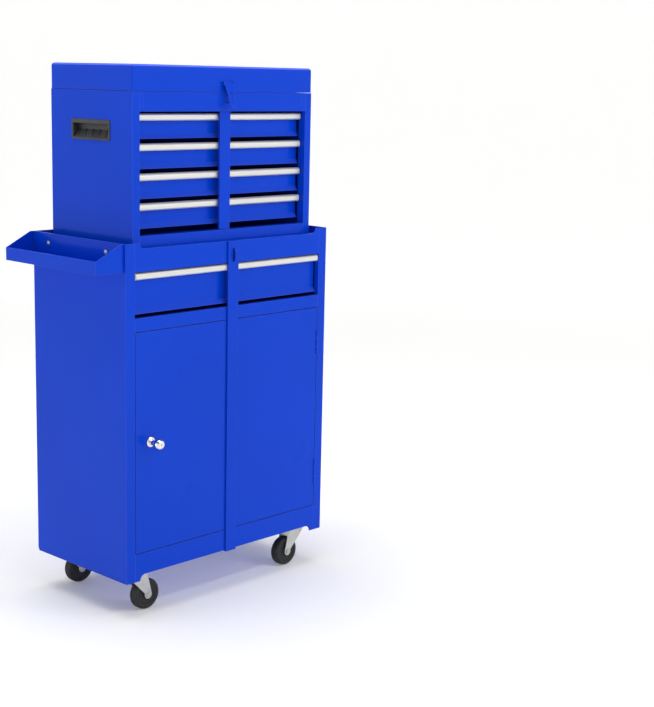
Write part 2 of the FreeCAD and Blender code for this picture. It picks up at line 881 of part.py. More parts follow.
def chest_rail():
    wide = bounds_pair(S.middle, CHEST_OPENING)
    return weld([
        block(wide, CHEST_PLY, (S.chest_low, S.bank_low)),
        block(wide, (CHEST_FRONT, CHEST_BACK), (S.bank_low - S.gauge, S.bank_low)),
    ])


def side_grip(side):
    """Moulded carrying grip: a bezel outside and a finger pocket inside the case."""
    half, proud, wall = S.chest_half, 2.2, 1.6
    long, tall = S.grip_length / 2, S.grip_height / 2
    bezel = block(span(side, half, half + proud), bounds_pair(GRIP_Y, long),
                  bounds_pair(S.grip_middle, tall))
    pocket = block(span(side, half - S.grip_pocket, half + proud), bounds_pair(GRIP_Y, long - 5),
                   bounds_pair(S.grip_middle, tall - 4))
    cavity = block(span(side, half - S.grip_pocket + wall, half + proud + 1),
                   bounds_pair(GRIP_Y, long - 5 - wall),
                   bounds_pair(S.grip_middle, tall - 4 - wall))
    return cut(weld([bezel, pocket]), [cavity])


# ---- lid -----------------------------------------------------------------------------------

LID_AXIS_Y = CHEST_REAR + S.knuckle + FIT
LID_AXIS_Z = S.split_high + 0.4
LID_HINGE_HALF = S.chest_half - 6
LID_KNUCKLES = 9
HASP_Y, HASP_Z = CHEST_FRONT - 4, S.lid_low + 16
HASP_TILT = 17.0


def lid_block(inset, low):
    """The lid's outline, pulled in by a wall, with round front and rear top edges."""
    front, rear = CHEST_FRONT + inset, CHEST_REAR - inset
    wide = bounds_pair(S.middle, S.chest_half - inset)
    top, bend = S.lid_high - inset, S.lid_round - inset
    rolls = [
        rod("x", (wide[0], y, top - bend), bend, wide[1] - wide[0])
        for y in (front + bend, rear - bend)
    ]
    return weld([
        block(wide, (front, rear), (low, top - bend)),
        block(wide, (front + bend, rear - bend), (low, top)),
        *rolls,
    ])


def lid_shell():
    return cut(lid_block(size(0), S.lid_low), [lid_block(S.gauge, S.lid_low - 1)])


def lid_knuckle_spans(first):
    """Every second knuckle along the lid's hinge."""
    pitch = 2 * LID_HINGE_HALF / LID_KNUCKLES
    start = S.middle - LID_HINGE_HALF
    return [
        (start + pitch * i + FIT / 2, start + pitch * (i + 1) - FIT / 2)
        for i in range(first, LID_KNUCKLES, 2)
    ]


def lid_hinge(first, leaf_z, tab_z, bore):
    """One half of the long hinge: a leaf, and a roll on every second pitch."""
    leaf_y = (CHEST_REAR, CHEST_REAR + 0.8)
    wide = bounds_pair(S.middle, LID_HINGE_HALF)
    parts = [block(wide, leaf_y, leaf_z)]
    bores = []
    for low, high in lid_knuckle_spans(first):
        parts.append(rod("x", (low, LID_AXIS_Y, LID_AXIS_Z), S.knuckle, high - low))
        parts.append(block((low, high), leaf_y, tab_z))
        bores.append(rod("x", (low - 1, LID_AXIS_Y, LID_AXIS_Z), bore, high - low + 2))
    return cut(weld(parts), bores)


def lid_hinge_fixed():
    reach = S.knuckle + 0.5
    leaf = lid_hinge(0, (LID_AXIS_Z - 20, LID_AXIS_Z - reach),
                     (LID_AXIS_Z - reach, LID_AXIS_Z - FIT), PIN_RADIUS - 0.01)
    pin = rod("x", (S.middle - LID_HINGE_HALF, LID_AXIS_Y, LID_AXIS_Z), PIN_RADIUS,
              2 * LID_HINGE_HALF)
    return weld([leaf, pin])


def lid_hinge_moving():
    reach = S.knuckle + 0.5
    return lid_hinge(1, (LID_AXIS_Z + reach, LID_AXIS_Z + 20),
                     (LID_AXIS_Z + FIT + 0.2, LID_AXIS_Z + reach), PIN_RADIUS + RUNNING)


def hasp_plate():
    """Bracket on the lid's front that holds the hasp's pin."""
    half = 14
    ears = [
        block(span(side, size(half - 2.4), size(half)), (HASP_Y - 3, CHEST_FRONT),
              (HASP_Z - 3, HASP_Z + 4))
        for side in (-1, 1)
    ]
    return weld([
        block(bounds_pair(S.middle, half), (CHEST_FRONT - 1, CHEST_FRONT),
              (HASP_Z - 3, HASP_Z + 4)),
        rod("x", (S.middle - half, HASP_Y, HASP_Z), PIN_RADIUS, 2 * half),
        *ears,
    ])


def hasp_flap():
    """Hanging hasp with a slot for the staple, drawn upright and tilted on its pin."""
    pivot = point(S.middle, HASP_Y, HASP_Z)
    half, end_half, length, thick, roll_radius = 11.3, 9.0, 49.0, 1.4, 2.7
    left = [Vector(-half, 0, 0), Vector(-half, 0, -14), Vector(-end_half, 0, -22),
            Vector(-end_half, 0, end_half - length)]
    right = [Vector(-p.x, 0, p.z) for p in reversed(left)]
    straight = Part.makePolygon([right[0], *right[1:], *left])
    foot = Part.Arc(left[-1], Vector(0, 0, -length), right[0]).toShape()
    face = Part.Face(Part.Wire([*straight.Edges, foot]))
    blade = face.extrude(Vector(0, thick, 0))
    blade.translate(Vector(0, -roll_radius, 0))
    slot_low, slot_high, slot_half = -42.0, -17.0, 2.8
    slot = Part.makeBox(2 * slot_half, 3 * thick, slot_high - slot_low,
                        Vector(-slot_half, -roll_radius - thick, slot_low))
    roll = Part.makeCylinder(roll_radius, 2 * half, Vector(-half, 0, 0), Vector(1, 0, 0))
    bore = Part.makeCylinder(PIN_RADIUS + RUNNING, 4 * half, Vector(-2 * half, 0, 0),
                             Vector(1, 0, 0))
    flap = blade.cut(slot).fuse(roll).cut(bore).removeSplitter()
    flap.rotate(Vector(), Vector(1, 0, 0), -HASP_TILT)
    flap.translate(pivot)
    return formed("flap", flap.Solids[0])


# ---- casters -------------------------------------------------------------------------------

PLATE_TOP = S.floor_high - S.gauge
PLATE_LOW = PLATE_TOP - 2.5
RACE_LOW = PLATE_LOW - 5
CROWN_TOP = RACE_LOW - FIT
CROWN_LOW = CROWN_TOP - 4
CASTERS = {
    "front_left": (-1, S.front + S.swivel_front),
    "front_right": (1, S.front + S.swivel_front),
    "rear_left": (-1, REAR - S.swivel_front),
    "rear_right": (1, REAR - S.swivel_front),
}


def swivel_x(side):
    return S.middle + side * (S.half_width - S.swivel_side)


def caster_plate(side, y):
    """Top plate with its ball race and king pin."""
    x = swivel_x(side)
    return weld([
        block(bounds_pair(x, 27), bounds_pair(y, 21), (PLATE_LOW, PLATE_TOP)),
        rod("z", (x, y, RACE_LOW), 18, PLATE_LOW - RACE_LOW),
        rod("z", (x, y, CROWN_LOW - 1), 4, PLATE_LOW - CROWN_LOW + 1),
        rod("z", (x, y, CROWN_LOW - 3), 8, 3 - FIT),
    ])


def caster_bolts():
    """Nuts of the plate bolts, standing on the cabinet's floor."""
    bolts = []
    for side, y in CASTERS.values():
        for dx in (-21, 21):
            for dy in (-15, 15):
                foot = (swivel_x(side) + dx, y + dy, S.floor_high)
                bolts.append(weld([rod("z", foot, 4.5, 4), rod("z", foot, 2.5, 10)]))
    return bolts


BRAKE_PIN = 1.5
LUG_MIDDLE, LUG_HALF, LUG_FOOT = 11.8, 1.2, 4.0


def brake_lugs(side, y):
    """Two lugs outside the crown that hold the brake lever's pin, and the pin's bore."""
    axis = S.half_width - S.swivel_side
    reach = span(side, axis + 12, axis + S.brake_out + 3)
    lugs = [
        block(reach, bounds_pair(y + lateral * LUG_MIDDLE, LUG_HALF),
              (CROWN_LOW - LUG_FOOT, CROWN_TOP))
        for lateral in (-1, 1)
    ]
    pivot = (swivel_x(side) + side * S.brake_out, y - 16, CROWN_LOW - 1)
    return lugs, rod("y", pivot, BRAKE_PIN + RUNNING, 32)


def caster_fork(side, y, braked):
    """Pressed fork: a crown under the race and two tapered legs, with the axle bolt."""
    x = swivel_x(side)
    inward = -side
    axle = (x + inward * S.trail, S.wheel_radius)
    leg_inner, leg = S.wheel_half + 1.4, 2.2
    parts = []
    for lateral in (-1, 1):
        near = y + lateral * leg_inner
        far = y + lateral * (leg_inner + leg)
        low_y = near if lateral > 0 else far
        outline = [
            (x - inward * 17, low_y, CROWN_TOP), (x + inward * 24, low_y, CROWN_TOP),
            (axle[0] + inward * 8.5, low_y, axle[1] + 2),
            (axle[0] + inward * 5.5, low_y, axle[1] - 6.5),
            (axle[0], low_y, axle[1] - 8.8),
            (axle[0] - inward * 5.5, low_y, axle[1] - 6.5),
            (axle[0] - inward * 9, low_y, axle[1] + 2),
        ]
        parts.append(formed("leg", slab(outline, Vector(0, leg, 0))))
    crown_half = leg_inner + leg
    parts += [
        rod("z", (x, y, CROWN_LOW), 18, CROWN_TOP - CROWN_LOW),
        block(bounds_pair(x, 17), bounds_pair(y, crown_half), (CROWN_LOW, CROWN_TOP)),
    ]
    king = rod("z", (x, y, CROWN_LOW - 1), 4 + RUNNING, 8)
    bolt_start = y - crown_half - 3
    hole = rod("y", (axle[0], bolt_start, axle[1]), S.axle_radius + 0.01, 2 * (crown_half + 3))
    holes = [king, hole]
    if braked:
        lugs, bore = brake_lugs(side, y)
        parts += lugs
        holes.append(bore)
    fork = cut(weld(parts), holes)
    bolt = weld([
        rod("y", (axle[0], bolt_start, axle[1]), S.axle_radius, 2 * (crown_half + 3)),
        rod("y", (axle[0], bolt_start, axle[1]), 5.2, 3),
        rod("y", (axle[0], y + crown_half, axle[1]), 5.2, 3),
    ])
    return several([fork, bolt])


def caster_wheel(side, y):
    """One rubber wheel, turned about its axle."""
    x = swivel_x(side) - side * S.trail
    r, half = S.wheel_radius, S.wheel_half
    bore = S.axle_radius + RUNNING
    side_line = [(bore, half), (size(10), half), (size(11.5), half - 2), (r - 9, half - 2),
                 (r - 6.5, half), (r - 3.5, half), (r - 1, half - 2), (r, half - 4.5)]
    far_line = [(u, -v) for u, v in reversed(side_line)]
    return turned("wheel", "flat", side_line + far_line, "V_Axis", (x, y, S.wheel_radius))


def brake_lever(side, y):
    """Foot tab of a front caster's brake, with the pin that it turns on."""
    pivot, z = swivel_x(side) + side * S.brake_out, CROWN_LOW - 1
    axis = S.half_width - S.swivel_side + S.brake_out
    return weld([
        rod("y", (pivot, y - LUG_MIDDLE + 2, z), 2.6, 2 * (LUG_MIDDLE - 2)),
        rod("y", (pivot, y - LUG_MIDDLE - LUG_HALF, z), BRAKE_PIN, 2 * (LUG_MIDDLE + LUG_HALF)),
        block(span(side, axis, axis + S.brake_tab), bounds_pair(y, 9), bounds_pair(z, 0.8)),
    ])


# ---- the whole chest -----------------------------------------------------------------------


def build_cabinet():
    for side, name in ((-1, "left"), (1, "right")):
        node(f"cabinet_side_{name}", cabinet_side(side))
    node("cabinet_back", cabinet_back())
    node("cabinet_floor", cabinet_floor())
    node("front_fascia", front_fascia())
    node("middle_rail", middle_rail())
    node("bottom_rail", bottom_rail())
    node("worktop_pan", worktop_pan())
    node("worktop_mat", worktop_mat())
    node("cabinet_shelf", shelf())
    node("side_tray", side_tray())
    outers = [
        slide_outer(side, LOWER_BOX, S.half_width - S.gauge,
                    slide_run(LOWER_FACE, S.low_box_length, S.slide_start), LOWER_SLIDE_Z,
                    S.low_slide_height)
        for side in (-1, 1)
    ]
    node("lower_slide_outers", several(outers))
    node("door_hinge_frames", door_hinge_frames())
    node("caster_plates", several([caster_plate(*place) for place in CASTERS.values()]))
    node("cabinet_fasteners", several([*tray_screws(), *caster_bolts()]))


def build_lower_drawer():
    node("lower_drawer_box", drawer_box(LOWER_HALF, LOWER_BOX, LOWER_FACE, S.low_top,
                                        S.low_front_height, S.low_box_length))
    node("lower_drawer_handle", handle(LOWER_HALF, LOWER_FACE, S.low_top))
    half, step = S.low_slide_height / 2, LEAF + SLIDE_GAP
    middle_run = slide_run(LOWER_FACE, S.low_box_length, S.slide_start)
    inner_run = slide_run(LOWER_FACE, S.low_box_length, INNER_START)
    middles, inners = [], []
    for side in (-1, 1):
        web = LOWER_BOX + S.slide_width - step
        middles.append(weld(channel(side, web, LOWER_BOX + MOUTH_GAP, middle_run, LOWER_SLIDE_Z,
                                    half - step)))
        inners.append(slide_inner(side, LOWER_BOX, inner_run, LOWER_SLIDE_Z, half - 2 * step))
    node("lower_slide_inners", several(inners))
    node("lower_slide_middles", several(middles))


def build_door():
    node("door_skin", door_skin())
    node("door_pegboard", weld([door_pegboard(), board_fold()]))
    node("door_hooks", door_hooks())
    node("door_hinge_leaves", door_hinge_leaves())
    node("door_knob", door_knob())


def build_top_chest():
    node("chest_casing", chest_casing())
    node("chest_floor", chest_floor())
    node("lid_well", lid_well())
    node("chest_fascia", chest_fascia())
    node("chest_rail", chest_rail())
    node("side_grips", several([side_grip(-1), side_grip(1)]))
    outers = [
        slide_outer(side, UPPER_BOX, S.chest_half - S.gauge,
                    slide_run(UPPER_FACE, S.box_length, S.slide_start),
                    upper_slide_z(level), S.slide_height)
        for level in range(4)
        for side in (-1, 1)
    ]
    node("upper_slide_outers", several(outers))
    node("lid_hinge_fixed", lid_hinge_fixed())


def build_upper_drawers():
    for level in range(4):
        name, top = f"drawer_{level + 1}", upper_top(level)
        node(f"{name}_box", drawer_box(UPPER_HALF, UPPER_BOX, UPPER_FACE, top, S.front_height,
                                       S.box_length))
        node(f"{name}_handle", handle(UPPER_HALF, UPPER_FACE, top))
        inners = [
            slide_inner(side, UPPER_BOX, slide_run(UPPER_FACE, S.box_length, INNER_START),
                        upper_slide_z(level), S.slide_height / 2 - LEAF - SLIDE_GAP)
            for side in (-1, 1)
        ]
        node(f"{name}_slides", several(inners))


def build_lid():
    node("lid_shell", lid_shell())
    node("lid_hinge_moving", lid_hinge_moving())
    node("hasp_plate", hasp_plate())
    node("hasp_flap", hasp_flap())


def build_casters():
    for name, place in CASTERS.items():
        braked = name.startswith("front")
        node(f"fork_{name}", caster_fork(*place, braked))
        node(f"wheel_{name}", caster_wheel(*place))
        if braked:
            node(f"brake_{name}", brake_lever(*place))


def check_and_write():
    """Recomputes, stops on any failed object or bad shape, and writes one file per node."""
    doc.recompute()
    for item in doc.Objects:
        if "Invalid" in item.State or "Error" in item.State:
            raise RuntimeError(f"{item.Name} failed: {item.State}")
    os.makedirs("parts", exist_ok=True)
    for item in NODES:
        shape = item.Shape
        if shape.isNull() or not shape.isValid() or not shape.Solids:
            raise RuntimeError(f"{item.Label} has no valid solid")
        shape.exportStep(f"parts/{item.Label}.step")


build_cabinet()
build_lower_drawer()
build_door()
build_top_chest()
build_upper_drawers()
build_lid()
node("upper_lock_bar", upper_lock_bar())
node("lower_lock_bar", lower_lock_bar())
build_casters()
check_and_write()
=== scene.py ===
"""Rolling tool chest: paint, plated metal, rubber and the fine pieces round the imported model."""

import json
import math

import bmesh
import bpy
from mathutils import Matrix, Vector


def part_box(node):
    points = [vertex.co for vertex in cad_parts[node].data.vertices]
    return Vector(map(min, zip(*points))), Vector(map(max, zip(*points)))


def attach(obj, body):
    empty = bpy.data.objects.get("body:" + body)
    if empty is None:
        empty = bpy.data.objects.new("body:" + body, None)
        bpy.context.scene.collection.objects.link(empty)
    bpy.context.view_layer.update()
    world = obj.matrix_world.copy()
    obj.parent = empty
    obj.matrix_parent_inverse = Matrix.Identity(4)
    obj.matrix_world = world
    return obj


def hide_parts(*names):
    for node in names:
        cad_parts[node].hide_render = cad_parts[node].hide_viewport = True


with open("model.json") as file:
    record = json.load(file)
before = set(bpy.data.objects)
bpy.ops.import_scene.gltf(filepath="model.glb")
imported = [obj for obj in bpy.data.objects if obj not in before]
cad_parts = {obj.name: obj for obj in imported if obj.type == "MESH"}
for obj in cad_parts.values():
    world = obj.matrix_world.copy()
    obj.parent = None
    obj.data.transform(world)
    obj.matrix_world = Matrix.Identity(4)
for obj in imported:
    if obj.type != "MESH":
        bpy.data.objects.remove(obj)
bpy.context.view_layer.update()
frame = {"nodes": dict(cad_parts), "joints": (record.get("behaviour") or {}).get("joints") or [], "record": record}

bl_info = {
    "name": "Rolling Tool Chest",
    "version": (1, 0, 0),
    "blender": (4, 5, 0),
    "location": "View3D > Sidebar > Tool Chest",
    "description": "Finishes and fine pieces of a two-part rolling tool chest",
    "category": "Object",
}

MM = 0.001
WELD = 0.001 * MM
SAME_PLACE = 0.0001 * MM
NODES = frame["nodes"]
BODY_OF = {
    node: body
    for body, members in frame["record"]["behaviour"]["bodies"].items()
    for node in members
}
DRAWERS = ("drawer_1", "drawer_2", "drawer_3", "drawer_4", "lower_drawer")
CASTERS = ("front_left", "front_right", "rear_left", "rear_right")
JOINTS = {joint["name"]: joint for joint in frame["joints"]}


def span(node):
    """Lowest corner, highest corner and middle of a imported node."""
    low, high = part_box(node)
    return low, high, (low + high) / 2


# ---- settings ----


def length(name, description, default):
    """A length in metres, as a property."""
    return bpy.props.FloatProperty(
        name=name, description=description, default=default, unit="LENGTH", precision=5
    )


def rotation(name, description, default):
    return bpy.props.FloatProperty(
        name=name, description=description, default=default, unit="ROTATION"
    )


def colour(name, description, default):
    return bpy.props.FloatVectorProperty(
        name=name, description=description, default=default, subtype="COLOR", size=3,
        min=0.0, max=1.0,
    )


def factor(name, description, default):
    return bpy.props.FloatProperty(
        name=name, description=description, default=default, min=0.0, max=1.0, subtype="FACTOR"
    )


class ChestColours(bpy.types.PropertyGroup):
    """Colours of the finishes."""

    paint: colour("Paint", "Powder coat of the sheet steel", (0.0003, 0.046, 0.545))
    paint_gloss: factor("Paint roughness", "Roughness of the powder coat", 0.30)
    handle: colour("Handles", "Satin aluminium of the drawer handles", (0.66, 0.66, 0.64))
    zinc: colour("Zinc", "Plated steel of the casters", (0.55, 0.56, 0.53))
    rubber: colour("Rubber", "Wheels", (0.013, 0.013, 0.014))
    mat: colour("Mat", "Ribbed rubber mat", (0.048, 0.048, 0.048))
    plastic: colour("Plastic", "Moulded grips", (0.030, 0.031, 0.035))
    black_steel: colour("Slides", "Black coat of the drawer slides", (0.018, 0.018, 0.020))


class ChestSizes(bpy.types.PropertyGroup):
    """Sizes of the fine detail."""

    sheet_round: length("Sheet edge", "Rounding of cut sheet edges", 0.45 * MM)
    rib_pitch: length("Mat ribs", "Distance between the mat's ribs", 3.2 * MM)
    rib_height: length("Rib height", "Height of the mat's ribs", 0.9 * MM)
    tread_lines: bpy.props.IntProperty(
        name="Tread lines", description="Grooves round each wheel", default=2, min=0, max=6
    )
    seam_width: length("Seam width", "Width of the welded seams in the front", 0.8 * MM)


class StageSettings(bpy.types.PropertyGroup):
    """Camera, floor and light."""

    camera_place: bpy.props.FloatVectorProperty(
        name="Camera", description="Place of the camera", default=(-1.9378, -2.2542, 1.0654),
        unit="LENGTH", precision=4,
    )
    heading: rotation("Heading", "Turn of the camera to the right", 0.8150)
    pitch: rotation("Pitch", "How far the camera looks down", 0.1898)
    roll: rotation("Roll", "Turn of the camera about its own axis", 0.0227)
    lens: bpy.props.FloatProperty(
        name="Lens", description="Focal length on a 36 mm sensor, in mm", default=73.54, min=10.0
    )
    floor: colour("Floor", "Pale studio floor", (0.93, 0.93, 0.92))
    near_glow: factor("Near glow", "Light that the floor gives by itself under the chest", 0.12)
    far_glow: factor("Far glow", "Light that the backdrop gives by itself", 0.52)
    sky: factor("Fill", "Strength of the even light from all round", 0.26)


def colours():
    return bpy.context.scene.chest_colours


def sizes():
    return bpy.context.scene.chest_sizes


def stage_settings():
    return bpy.context.scene.chest_stage


# ---- shader maths ----


class Value:
    """A socket whose arithmetic adds Math nodes."""

    def __init__(self, graph, socket):
        self.graph = graph
        self.socket = socket

    def maths(self, operation, *others):
        inputs = dict(enumerate((self, *others)))
        return self.graph.add("ShaderNodeMath", {"operation": operation}, inputs)["Value"]

    def __add__(self, other):
        return self.maths("ADD", other)

    def __mul__(self, other):
        return self.maths("MULTIPLY", other)

    def __rsub__(self, other):
        return self.graph.number(other).maths("SUBTRACT", self)

    def clamped(self):
        return self.maths("MAXIMUM", 0.0).maths("MINIMUM", 1.0)


class Node:
    """A node of the graph; indexing gives an output as a Value."""

    def __init__(self, graph, node):
        self.graph = graph
        self.node = node

    def __getitem__(self, name):
        return Value(self.graph, self.node.outputs[name])


class Graph:
    """The node tree of one material."""

    def __init__(self, name):
        self.material = bpy.data.materials.new(name)
        self.material.use_nodes = True
        self.tree = self.material.node_tree
        self.tree.nodes.clear()

    def add(self, kind, settings=None, inputs=None):
        """Any node from its type, its settings (set first) and its sockets' values or links."""
        node = self.tree.nodes.new(kind)
        for name, value in (settings or {}).items():
            if name == "stops":
                fill_ramp(node.color_ramp, value)
            else:
                setattr(node, name, value)
        for name, value in (inputs or {}).items():
            if isinstance(value, Value):
                self.tree.links.new(value.socket, node.inputs[name])
            else:
                node.inputs[name].default_value = value
        return Node(self, node)

    def number(self, value):
        node = self.add("ShaderNodeValue")
        node.node.outputs[0].default_value = value
        return node[0]

    def place(self):
        """Position on the piece, in metres, which moves with it."""
        return self.add("ShaderNodeTexCoord")["Object"]

    def noise(self, scale, detail=3.0, roughness=0.55, place=None):
        return self.add(
            "ShaderNodeTexNoise", {"noise_dimensions": "3D"},
            {"Vector": place or self.place(), "Scale": scale, "Detail": detail,
             "Roughness": roughness},
        )["Fac"]

    def spots(self, scale):
        inputs = {"Vector": self.place(), "Scale": scale}
        return self.add("ShaderNodeTexVoronoi", {"feature": "F1"}, inputs)["Distance"]

    def scaled(self, amounts):
        """Position on the piece, stretched by an amount along each axis."""
        return self.add(
            "ShaderNodeVectorMath", {"operation": "MULTIPLY"}, {0: self.place(), 1: amounts}
        )["Vector"]

    def ramp(self, value, *stops):
        return self.add("ShaderNodeValToRGB", {"stops": stops}, {"Fac": value})["Color"]

    def steps(self, value, low, high):
        """Zero below low, one above high, straight between."""
        return self.add(
            "ShaderNodeMapRange", {"clamp": True},
            {"Value": value, "From Min": low, "From Max": high},
        )["Result"]

    def blend(self, amount, first, second):
        node = self.add("ShaderNodeMix", {"data_type": "RGBA"})
        for index, value in ((0, amount), (6, first), (7, second)):
            socket = node.node.inputs[index]
            if isinstance(value, Value):
                self.tree.links.new(value.socket, socket)
            elif index:
                socket.default_value = (*value[:3], 1.0)
            else:
                socket.default_value = value
        return node[2]

    def edge_highlight_mask(self, radius):
        """One along edges, zero on flats, from how far a rounded normal leans off the true one: the mask of a
        painted highlight along edges.
        """
        edge_full, whole = 0.86, 0.995
        round_normal = self.add("ShaderNodeBevel", {"samples": 6}, {"Radius": radius})["Normal"]
        true_normal = self.add("ShaderNodeNewGeometry")["Normal"]
        agreement = self.add(
            "ShaderNodeVectorMath", {"operation": "DOT_PRODUCT"}, {0: round_normal, 1: true_normal}
        )["Value"]
        return (1.0 - self.steps(agreement, edge_full, whole)).clamped()

    def lean_up(self):
        """How far a face leans upward: zero if upright, one if level."""
        facing = self.add("ShaderNodeTexCoord")["Normal"]
        return self.add("ShaderNodeSeparateXYZ", inputs={"Vector": facing})["Z"]

    def hollow(self, reach):
        """One deep in gaps and recesses, zero in the open."""
        open_share = self.add(
            "ShaderNodeAmbientOcclusion", {"samples": 8}, {"Distance": reach}
        )["AO"]
        return (1.0 - open_share).clamped()

    def bump(self, height, distance, strength):
        return self.add(
            "ShaderNodeBump", {}, {"Height": height, "Distance": distance, "Strength": strength}
        )["Normal"]

    def finish(self, **inputs):
        """Closes the material with one shader; names give its sockets, '_' for a space."""
        named = {name.replace("_", " "): value for name, value in inputs.items()}
        for name, value in named.items():
            if name == "Base Color" and not isinstance(value, Value):
                named[name] = (*value[:3], 1.0)
        shader = self.add("ShaderNodeBsdfPrincipled", {}, named)
        self.add("ShaderNodeOutputMaterial", {}, {"Surface": shader["BSDF"]})
        return self.material


def fill_ramp(ramp, stops):
    while len(ramp.elements) < len(stops):
        ramp.elements.new(1.0)
    for element, (position, value) in zip(ramp.elements, stops):
        element.position = position
        element.color = (*value[:3], 1.0)


def shade(rgb, amount):
    """A colour made lighter or darker."""
    return tuple(min(1.0, channel * amount) for channel in rgb)


# ---- finishes ----


def powder_coat(name="powder_coat", highlight_share=0.07):
    """Semi-gloss powder coat: fine orange peel, slight drift of colour, a painted highlight along edges and
    painted shade in gaps.

    The second argument sets how strongly faces that slope upward, such as rolled edges, turn to the painted
    highlight colour.
    """
    graph = Graph(name)
    base = tuple(colours().paint)
    edge_radius, gap_depth, peel_height = 0.75 * MM, 7.0 * MM, 0.02 * MM
    drift = graph.noise(3.0, 1.0)
    tone = graph.blend(graph.steps(drift, 0.3, 0.7), shade(base, 0.95), shade(base, 1.05))
    # Painted highlight: a lighter paint that stands in for light caught on folds and rolled edges, laid along
    # every sharp edge.
    painted_highlight = tuple(min(1.0, channel + 0.16) for channel in shade(base, 1.25))
    tone = graph.blend(graph.edge_highlight_mask(edge_radius) * 0.45, tone, painted_highlight)
    # Painted shade: gaps and recesses darken almost to black.
    tone = graph.blend(graph.steps(graph.hollow(gap_depth), 0.45, 0.9), tone, shade(base, 0.03))
    # Painted highlight: faces that slope upward, such as rolled edges and drawer lips, turn lighter.
    raised = graph.lean_up()
    upward_highlight = graph.steps(raised, 0.30, 0.55) * (1.0 - graph.steps(raised, 0.82, 0.95))
    tone = graph.blend(upward_highlight * highlight_share, tone, painted_highlight)
    dust = graph.steps(graph.noise(5.0, 2.0), 0.3, 0.75)
    peel = graph.noise(160.0, 1.0, 0.4)
    return graph.finish(
        Base_Color=tone,
        Roughness=dust * 0.07 + (colours().paint_gloss - 0.03),
        Normal=graph.bump(peel, peel_height, 0.2),
        Coat_Weight=0.14,
        Coat_Roughness=0.07,
        Specular_IOR_Level=0.05,
    )


def lid_paint_with_highlight():
    """The same coat, with a stronger painted highlight along the lid's rolled edges."""
    return powder_coat("lid_paint_with_highlight", 0.6)


def satin_aluminium():
    """Drawn and brushed aluminium: fine lines along the handle."""
    graph = Graph("satin_aluminium")
    base = tuple(colours().handle)
    stretched = graph.scaled((3.0, 900.0, 900.0))
    lines = graph.noise(1.0, 3.0, 0.6, stretched)
    cloud = graph.noise(9.0, 3.0)
    tone = graph.blend(graph.steps(lines, 0.3, 0.7), shade(base, 0.93), shade(base, 1.07))
    tone = graph.blend(graph.steps(cloud, 0.5, 0.8) * 0.3, tone, shade(base, 0.88))
    return graph.finish(
        Base_Color=tone, Metallic=0.55, Roughness=lines * 0.14 + 0.33,
        Normal=graph.bump(lines, 0.04 * MM, 0.5),
    )


def grey_plastic():
    """Pale moulded end caps."""
    graph = Graph("grey_plastic")
    grain = graph.noise(700.0, 3.0)
    tone = graph.ramp(graph.noise(60.0), (0.3, (0.46, 0.46, 0.45)), (0.7, (0.55, 0.55, 0.54)))
    return graph.finish(
        Base_Color=tone, Roughness=grain * 0.15 + 0.38, Normal=graph.bump(grain, 0.05 * MM, 0.5)
    )


def zinc_plate():
    """Bright zinc with faint cloudy spangle and rubbed marks."""
    graph = Graph("zinc_plate")
    base = tuple(colours().zinc)
    spangle = graph.spots(260.0)
    cloud = graph.noise(38.0, 4.0)
    rubbed = graph.noise(1.0, 3.0, 0.6, graph.scaled((240.0, 240.0, 1500.0)))
    tone = graph.blend(graph.steps(cloud, 0.35, 0.7), shade(base, 0.86), shade(base, 1.08))
    tone = graph.blend(graph.steps(spangle, 0.2, 0.7) * 0.18, tone, shade(base, 0.78))
    return graph.finish(
        Base_Color=tone, Metallic=0.78, Roughness=cloud * 0.16 + rubbed * 0.10 + 0.22,
        Normal=graph.bump(rubbed * 0.6 + spangle * 0.4, 0.05 * MM, 0.5),
    )


def chrome():
    """Polished chrome with faint wipe marks."""
    graph = Graph("chrome")
    haze = graph.noise(120.0, 4.0)
    tone = graph.ramp(haze, (0.3, (0.70, 0.70, 0.70)), (0.75, (0.82, 0.82, 0.81)))
    return graph.finish(
        Base_Color=tone, Metallic=1.0, Roughness=haze * 0.10 + 0.07,
        Normal=graph.bump(haze, 0.02 * MM, 0.3),
    )


def wheel_rubber():
    """Matt black rubber with dust picked up on the tread."""
    graph = Graph("wheel_rubber")
    base = tuple(colours().rubber)
    grain = graph.noise(520.0, 4.0)
    dust = graph.noise(75.0, 5.0)
    tone = graph.blend(graph.steps(grain, 0.3, 0.8), base, shade(base, 1.9))
    tone = graph.blend(graph.steps(dust, 0.5, 0.9) * 0.2, tone, (0.10, 0.095, 0.088))
    return graph.finish(
        Base_Color=tone, Roughness=dust * 0.2 + 0.42, Specular_IOR_Level=0.3,
        Normal=graph.bump(grain * 0.7 + dust * 0.3, 0.12 * MM, 0.6),
    )


def mat_rubber():
    """Dark grey sheet rubber with pale scuffs."""
    graph = Graph("mat_rubber")
    base = tuple(colours().mat)
    grain = graph.noise(600.0, 4.0)
    scuff = graph.noise(1.0, 4.0, 0.65, graph.scaled((18.0, 70.0, 18.0)))
    tone = graph.blend(graph.steps(grain, 0.3, 0.8), base, shade(base, 1.5))
    tone = graph.blend(graph.steps(scuff, 0.52, 0.8) * 0.5, tone, shade(base, 2.6))
    return graph.finish(
        Base_Color=tone, Roughness=scuff * 0.15 + 0.6, Normal=graph.bump(grain, 0.1 * MM, 0.6)
    )


def black_plastic():
    """Moulded black plastic with a spark-etched grain and painted shade in its recesses."""
    graph = Graph("black_plastic")
    base = tuple(colours().plastic)
    etch = graph.spots(900.0)
    cloud = graph.noise(40.0, 3.0)
    tone = graph.blend(graph.steps(cloud, 0.35, 0.7), base, shade(base, 1.5))
    # Painted shade: the finger pocket and other recesses darken.
    tone = graph.blend(graph.steps(graph.hollow(16.0 * MM), 0.25, 0.8), tone, shade(base, 0.1))
    return graph.finish(
        Base_Color=tone, Roughness=etch * 0.14 + cloud * 0.1 + 0.32,
        Specular_IOR_Level=0.35, Normal=graph.bump(etch, 0.05 * MM, 0.4),
    )


